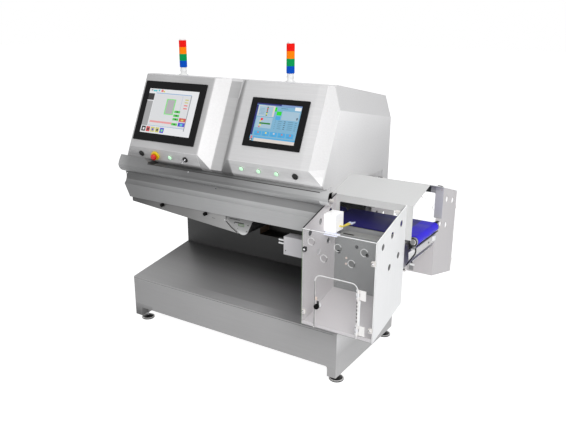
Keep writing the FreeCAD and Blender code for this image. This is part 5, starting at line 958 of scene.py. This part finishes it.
def trim_paints():
    """Materials shared by the fine parts."""
    paints = {name: plastic("trim_" + name, rgb, rough) for name, (rgb, rough) in TRIM_COLOURS.items()}
    paints["chrome"] = steel("trim_chrome", (230, 230, 232), 0.15, 0.9, "x", 0.02, 0.02)
    return paints


def lid_point(s, x, share, lift):
    """Point on the sloping upper edge of a bin; share runs from its front to its back."""
    front, back = s * BIN_FRONT, s * BIN_BACK
    return (x, front + share * (back - front), BIN_FRONT_Z + share * (BIN_BACK_Z - BIN_FRONT_Z) + lift)


def lid_clamp_marks(piece, s):
    """Plates and discs of the lid's clamps and a beige block on the left edge."""
    flip = (-s, 0, 0)
    slope = math.atan2(BIN_BACK_Z - BIN_FRONT_Z, BIN_BACK - BIN_FRONT)
    up = (0, -s * math.cos(slope), math.sin(slope))
    share = (LID_CLAMP_Y - BIN_FRONT) / (BIN_BACK - BIN_FRONT)
    for x in LID_CLAMP_X:
        matrix = place(lid_point(s, x, share, 0.0004), flip, up)
        piece.slab(-0.02, 0.02, -0.016, 0.016, 0.0, 0.0012, "light", matrix, 0.0004)
        piece.disc(matrix @ Vector((0, 0, 0.0092)), flip, up, 0.0085, 0.0016, "black")
        piece.disc(matrix @ Vector((0, 0, 0.0106)), flip, up, 0.003, 0.0012, "white")
    beige = place(lid_point(s, LID_CLAMP_X[0] - 0.001, BEIGE_SHARE, 0.0006), flip, up)
    piece.slab(-0.008, 0.009, -0.013, 0.011, 0.0, 0.004, "beige", beige, 0.001)


def bin_lines(name, s, paints):
    """Seals, edge strips, hole rims and screws of one bin; s is -1 for the front bin."""
    piece = Piece(name, paints)
    outward = ((-s, 0, 0), Z_WAY)
    for x, start, end, lift, radius, colour in LID_STRIPS:
        piece.rod(lid_point(s, x, start, lift), lid_point(s, x, end, lift), radius, colour)
    face = s * (PANEL_FACE + STRIP_LIFT)
    for x0, x1, z0, z1, radius, colour in PANEL_STRIPS:
        piece.rod((x0, face, z0), (x1, face, z1), radius, colour)
    for x, z in PANEL_HOLES:
        piece.ring((x, face, z), *outward, HOLE_RIM, "white", 20, 300)
        piece.ring((x, face, z), *outward, HOLE_RIM, "black", 300, 380)
    for x, z in CLAMP_PLACES:
        dark = (x, z) == BLACK_CLAMP
        spot = (x, s * CLAMP_FACE, z)
        piece.disc(spot, *outward, 0.0052, 0.0022, "white" if dark else "chrome")
        if not dark:
            piece.ring(spot, *outward, (0.006, 0.0085, 0.0006), "black", 100, 290)
    lid_clamp_marks(piece, s)
    for z in BEIGE_DISC_Z:
        piece.disc((BEIGE_DISC[0], s * BEIGE_DISC[1], z), *outward, 0.0065, 0.002, "beige")
    piece.slab(0.0, 0.066, -0.0075, 0.0075, 0.0, 0.001, "black", place((0.571, s * 0.229, 0.9003)))
    points = [(x, face, z) for x, z in flap_outline(0.0)]
    piece.path(points[:2], 0.0026, "grey", 8)
    piece.path(points[1:], 0.0016, "white", 8)
    hinge_strip = place((0.863, s * 0.599, 0.557), *outward)
    piece.slab(-0.0065, 0.0065, 0.0, 0.142, 0.0, 0.0016, "white", hinge_strip)
    for x, z in BACK_HOLES:
        piece.disc((x, s * (BIN_BACK + 0.0016), z), *outward, 0.0124, 0.0006, "black")
    for y, z in PLUG_PLACES:
        piece.disc((BIN_LEFT + 0.0016, s * y, z), *SIDEWAYS, 0.0185, 0.0008, "black", 24)
    for z in HINGE_LINES:
        matrix = place((0.8515, s * 0.6008, z), *outward)
        piece.slab(-0.002, 0.002, 0.0, 0.011, 0.0, 0.001, "black", matrix)
    piece.disc((0.6005, face, 0.483), *outward, 0.004, 0.003, "light")
    piece.make("frame")


def latch_details(name, body, s, paints):
    """Short shaft and white inner disc of a bin door latch, which turn with it."""
    piece = Piece(name, paints)
    x, z = LATCH
    end = (x, s * 0.577, z)
    piece.rod((x, s * 0.5885, z), end, 0.0045, "chrome", 16)
    piece.disc(end, (s, 0, 0), Z_WAY, 0.0125, 0.003, "white", 24)
    piece.make(body)


def flap_outline(inset):
    """The bin door's outline as (x, z), from its lower left corner round to its lower right one."""
    left, right, top = FLAP_LEFT + inset, FLAP_RIGHT - inset, FLAP_TOP - inset
    radius = FLAP_CORNER - inset
    points = [(left, BIN_BOTTOM + 0.002)]
    for centre, first in ((left + radius, 180), (right - radius, 90)):
        for step in range(7):
            angle = math.radians(first - 15 * step)
            points.append((centre + radius * math.cos(angle), top - radius + radius * math.sin(angle)))
    return points + [(right, BIN_BOTTOM + 0.002)]


def door_details(name, body, s, paints):
    """Polished edge, beige keeper at the latch and end screws of the hinge leaves of one bin door."""
    piece = Piece(name, paints)
    outward = ((-s, 0, 0), Z_WAY)
    points = [(x, s * 0.5972, z) for x, z in flap_outline(FLAP_EDGE_INSET)]
    piece.path(points, 0.0009, "light", 6)
    for z in LEAF_BOTTOMS:
        for lift in LEAF_SCREWS:
            piece.disc((0.8465, s * 0.6011, z + lift), *outward, 0.0024, 0.0012, "black", 10)
    keeper = place((0.6125, s * 0.5984, 0.65), *outward)
    piece.slab(-0.0055, 0.0055, -0.009, 0.009, 0.0, 0.004, "beige", keeper, 0.001)
    piece.make(body)


def drive_details(paints):
    """Window piece, slots, a painted shadow bar under the tunnel door's edge, gap and screws at the belt
    drive's end plate and on the pan.
    """
    piece = Piece("drive_details", paints)
    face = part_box("drive_end_plate")[0].y
    pan = face + 0.0038
    marks = ((-0.0925, -0.0475, 0.8525, 0.8685, face + 0.0032, "moss"),
             (-0.084, -0.06, 0.8565, 0.862, face + 0.0026, "grey"),
             (-0.118, -0.05, 0.870, 0.8765, face, "black"),
             # Painted shadow under the tunnel door's lower edge.
             (-0.157, -0.0785, 0.8885, 0.894, face, "black"),
             (-0.186, -0.181, 0.878, 0.9, face, "black"))
    for x0, x1, z0, z1, y, colour in marks:
        piece.slab(x0, x1, z0, z1, 0.0, 0.0004, colour, place((0, y, 0), *UPRIGHT))
    bend = [(-0.1853, face, 0.868), (-0.1477, face, 0.836), (-0.1027, face, 0.8094)]
    piece.path(bend, 0.0022, "black", 6)
    for x, z in ((-0.0194, 0.868), (-0.0289, 0.827), (-0.1211, 0.8677)):
        piece.disc((x, face, z), *UPRIGHT, 0.0038, 0.0008, "black", 10)
    piece.disc((-0.198, pan, 0.872), *UPRIGHT, 0.003, 0.001, "white", 10)
    piece.slab(-0.298, -0.273, 0.868, 0.8702, 0.0, 0.0004, "black", place((0, pan, 0), *UPRIGHT))
    piece.make("frame")


def exit_details(paints):
    """Painted-shade black sheet and painted shadow gap at the exit roller, with guard plate, hose, brackets
    and bearing cap.
    """
    piece = Piece("exit_details", paints)
    # Painted shade: a black sheet where the region left of the exit roller lies in shadow.
    shade_sheet = [(0.938, 0.902), (0.9417, 0.8565), (0.96, 0.872), (0.957, 0.906)]
    piece.sheet(shade_sheet, 0.001, "black", place((0, -0.1695, 0), *UPRIGHT))
    guard = [(0.9462, 0.7886), (0.984, 0.848), (0.983, 0.872), (0.9425, 0.8435)]
    piece.sheet(guard, 0.001, "white", place((0, -0.1705, 0), *UPRIGHT))
    low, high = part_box(EXIT_ROLLER)
    hub = ((low.x + high.x) / 2, HUB_Y, (low.z + high.z) / 2)
    piece.ring(hub, *UPRIGHT, (0.0172, 0.0238, 0.0008), "black")
    piece.disc(hub, *UPRIGHT, 0.0172, 0.0006, "grey", 24)
    piece.ring(hub, *UPRIGHT, (0.013, 0.0172, 0.001), "light", -60, 60)
    # Painted shadow: the dark gap between the belt and the cross bar below it.
    piece.rod((0.9826, -0.15, 0.8805), (0.9826, 0.165, 0.8805), 0.0034, "black")
    bends = ((0.983, 0.876), (0.985, 0.858), (0.981, 0.842), (0.9654, 0.8165), (0.9463, 0.786),
             (0.9365, 0.769))
    piece.hose([(x, HOSE_Y, z) for x, z in bends], 0.0038, "black")
    piece.slab(0.948, 0.973, -0.168, -0.162, 0.744, 0.767, "grey", chamfer=0.001)
    piece.slab(0.9735, 0.984, 0.108, 0.134, 0.834, 0.862, "white", chamfer=0.0015)
    gusset = [(0.957, 0.786), (0.971, 0.786), (0.963, 0.799)]
    piece.sheet(gusset, 0.001, "black", place((0, -0.17, 0), *UPRIGHT))
    piece.slab(0.954, 0.979, -0.169, -0.164, 0.772, 0.780, "white")
    piece.disc((0.9215, -0.1655, 0.7385), *UPRIGHT, 0.0145, 0.003, "light")
    piece.disc((0.9215, -0.1686, 0.7385), *UPRIGHT, 0.0052, 0.0006, "black")
    piece.slab(0.907, 0.933, -0.1655, -0.1625, 0.742, 0.762, "light")
    piece.disc((0.9742, 0.051, 0.841), *SIDEWAYS, 0.0058, 0.0006, "black")
    piece.disc((0.9772, 0.2, 1.118), *SIDEWAYS, 0.0045, 0.001, "brown", 10)
    piece.slab(0.965, 0.983, 0.152, 0.182, 0.931, 0.936, "black")
    piece.make("frame")


def console_details(paints):
    """Rings of the buttons and the key switch, and a small mark on the lip."""
    piece = Piece("console_details", paints)
    low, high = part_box("key")
    rings = [(x, LIT_RING, "light") for x in LIT_BUTTONS] + [(x, BLACK_RING, "black") for x in BLACK_BUTTONS]
    rings.append(((low.x + high.x) / 2, KEY_RING, "black"))
    for x, outline, colour in rings:
        piece.turned(outline, colour, facet_place(x), 28)
    piece.disc(LIP_MARK, X_WAY, (0, 0.3, 1), 0.003, 0.0008, "white", 10)
    piece.make("frame")


def valve_details(paints):
    """Black gaps between the valve box's white rods and its front screw."""
    piece = Piece("valve_details", paints)
    low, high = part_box("valve_box")
    y = low.y + 0.018
    for inset, drop in ((0.002, 0.042), (0.004, 0.022)):
        z = high.z - drop
        piece.rod((low.x + inset, y, z), (VALVE_ROD_END, y, z), 0.0036, "black")
    piece.disc((0.2546, -0.3382, 0.7673), *UPRIGHT, 0.0032, 0.0008, "black", 10)
    piece.make("frame")


def nozzle_details(paints):
    """Sleeves on the two nozzle tubes and their pale tips."""
    piece = Piece("nozzle_details", paints)
    low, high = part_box("air_nozzles")
    x, z = (low.x + high.x) / 2, (low.z + high.z) / 2
    for s in (-1, 1):
        for start, end, radius, colour in ((0.3, 0.264, 0.0068, "yellow"), (0.264, 0.243, 0.0078, "pale")):
            piece.rod((x, s * start, z), (x, s * end, z), radius, colour, 16)
    piece.make("frame")


def foot_highlights_and_seam(paints):
    """Painted highlight ring round each foot disc and the dark seam along the base's front edge."""
    piece = Piece("foot_highlights_and_seam", paints)
    for x in FOOT_X:
        for y in FOOT_Y:
            # Painted highlight ring on each foot.
            piece.turned(FOOT_HIGHLIGHT, "light", place((x, y, 0)), 40)
    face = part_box("base_frame")[0].y - 0.0002
    left, right, z = BASE_EDGE
    piece.rod((left, face, z), (right, face, z), SEAM_RADIUS, "seam", 6)
    piece.make("frame")


def lens_ribs():
    """Ribbed shells round the tower lenses."""
    low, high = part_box("tower_lenses")
    radius = (high.y - low.y) / 2
    middle = (low.y + high.y) / 2
    piece = Piece("lens_ribs", {"lens": NODES["tower_lenses"].data.materials[0]})
    for x in (low.x + radius, high.x - radius):
        for index in range(RIB_COUNT):
            angle = math.radians(360 / RIB_COUNT * index + RIB_TURN)
            spot = (x + radius * math.cos(angle), middle + radius * math.sin(angle))
            piece.rod((*spot, low.z + 0.001), (*spot, high.z - 0.001), RIB_RADIUS, "lens", 8)
    piece.make("frame")


bpy.context.scene.view_settings.view_transform = "Standard"
make_camera()
make_world()
make_floor()
make_lamps()
paint_nodes()
make_pictures()
trims = trim_paints()
for side, sign in SIDES:
    bin_lines(side + "_bin_lines", sign, trims)
for side, sign in SIDES:
    latch_details(side + "_latch_details", side + "_bin_latch_body", sign, trims)
for side, sign in SIDES:
    door_details(side + "_door_details", side + "_bin_door_body", sign, trims)
drive_details(trims)
exit_details(trims)
console_details(trims)
valve_details(trims)
nozzle_details(trims)
foot_highlights_and_seam(trims)
lens_ribs()
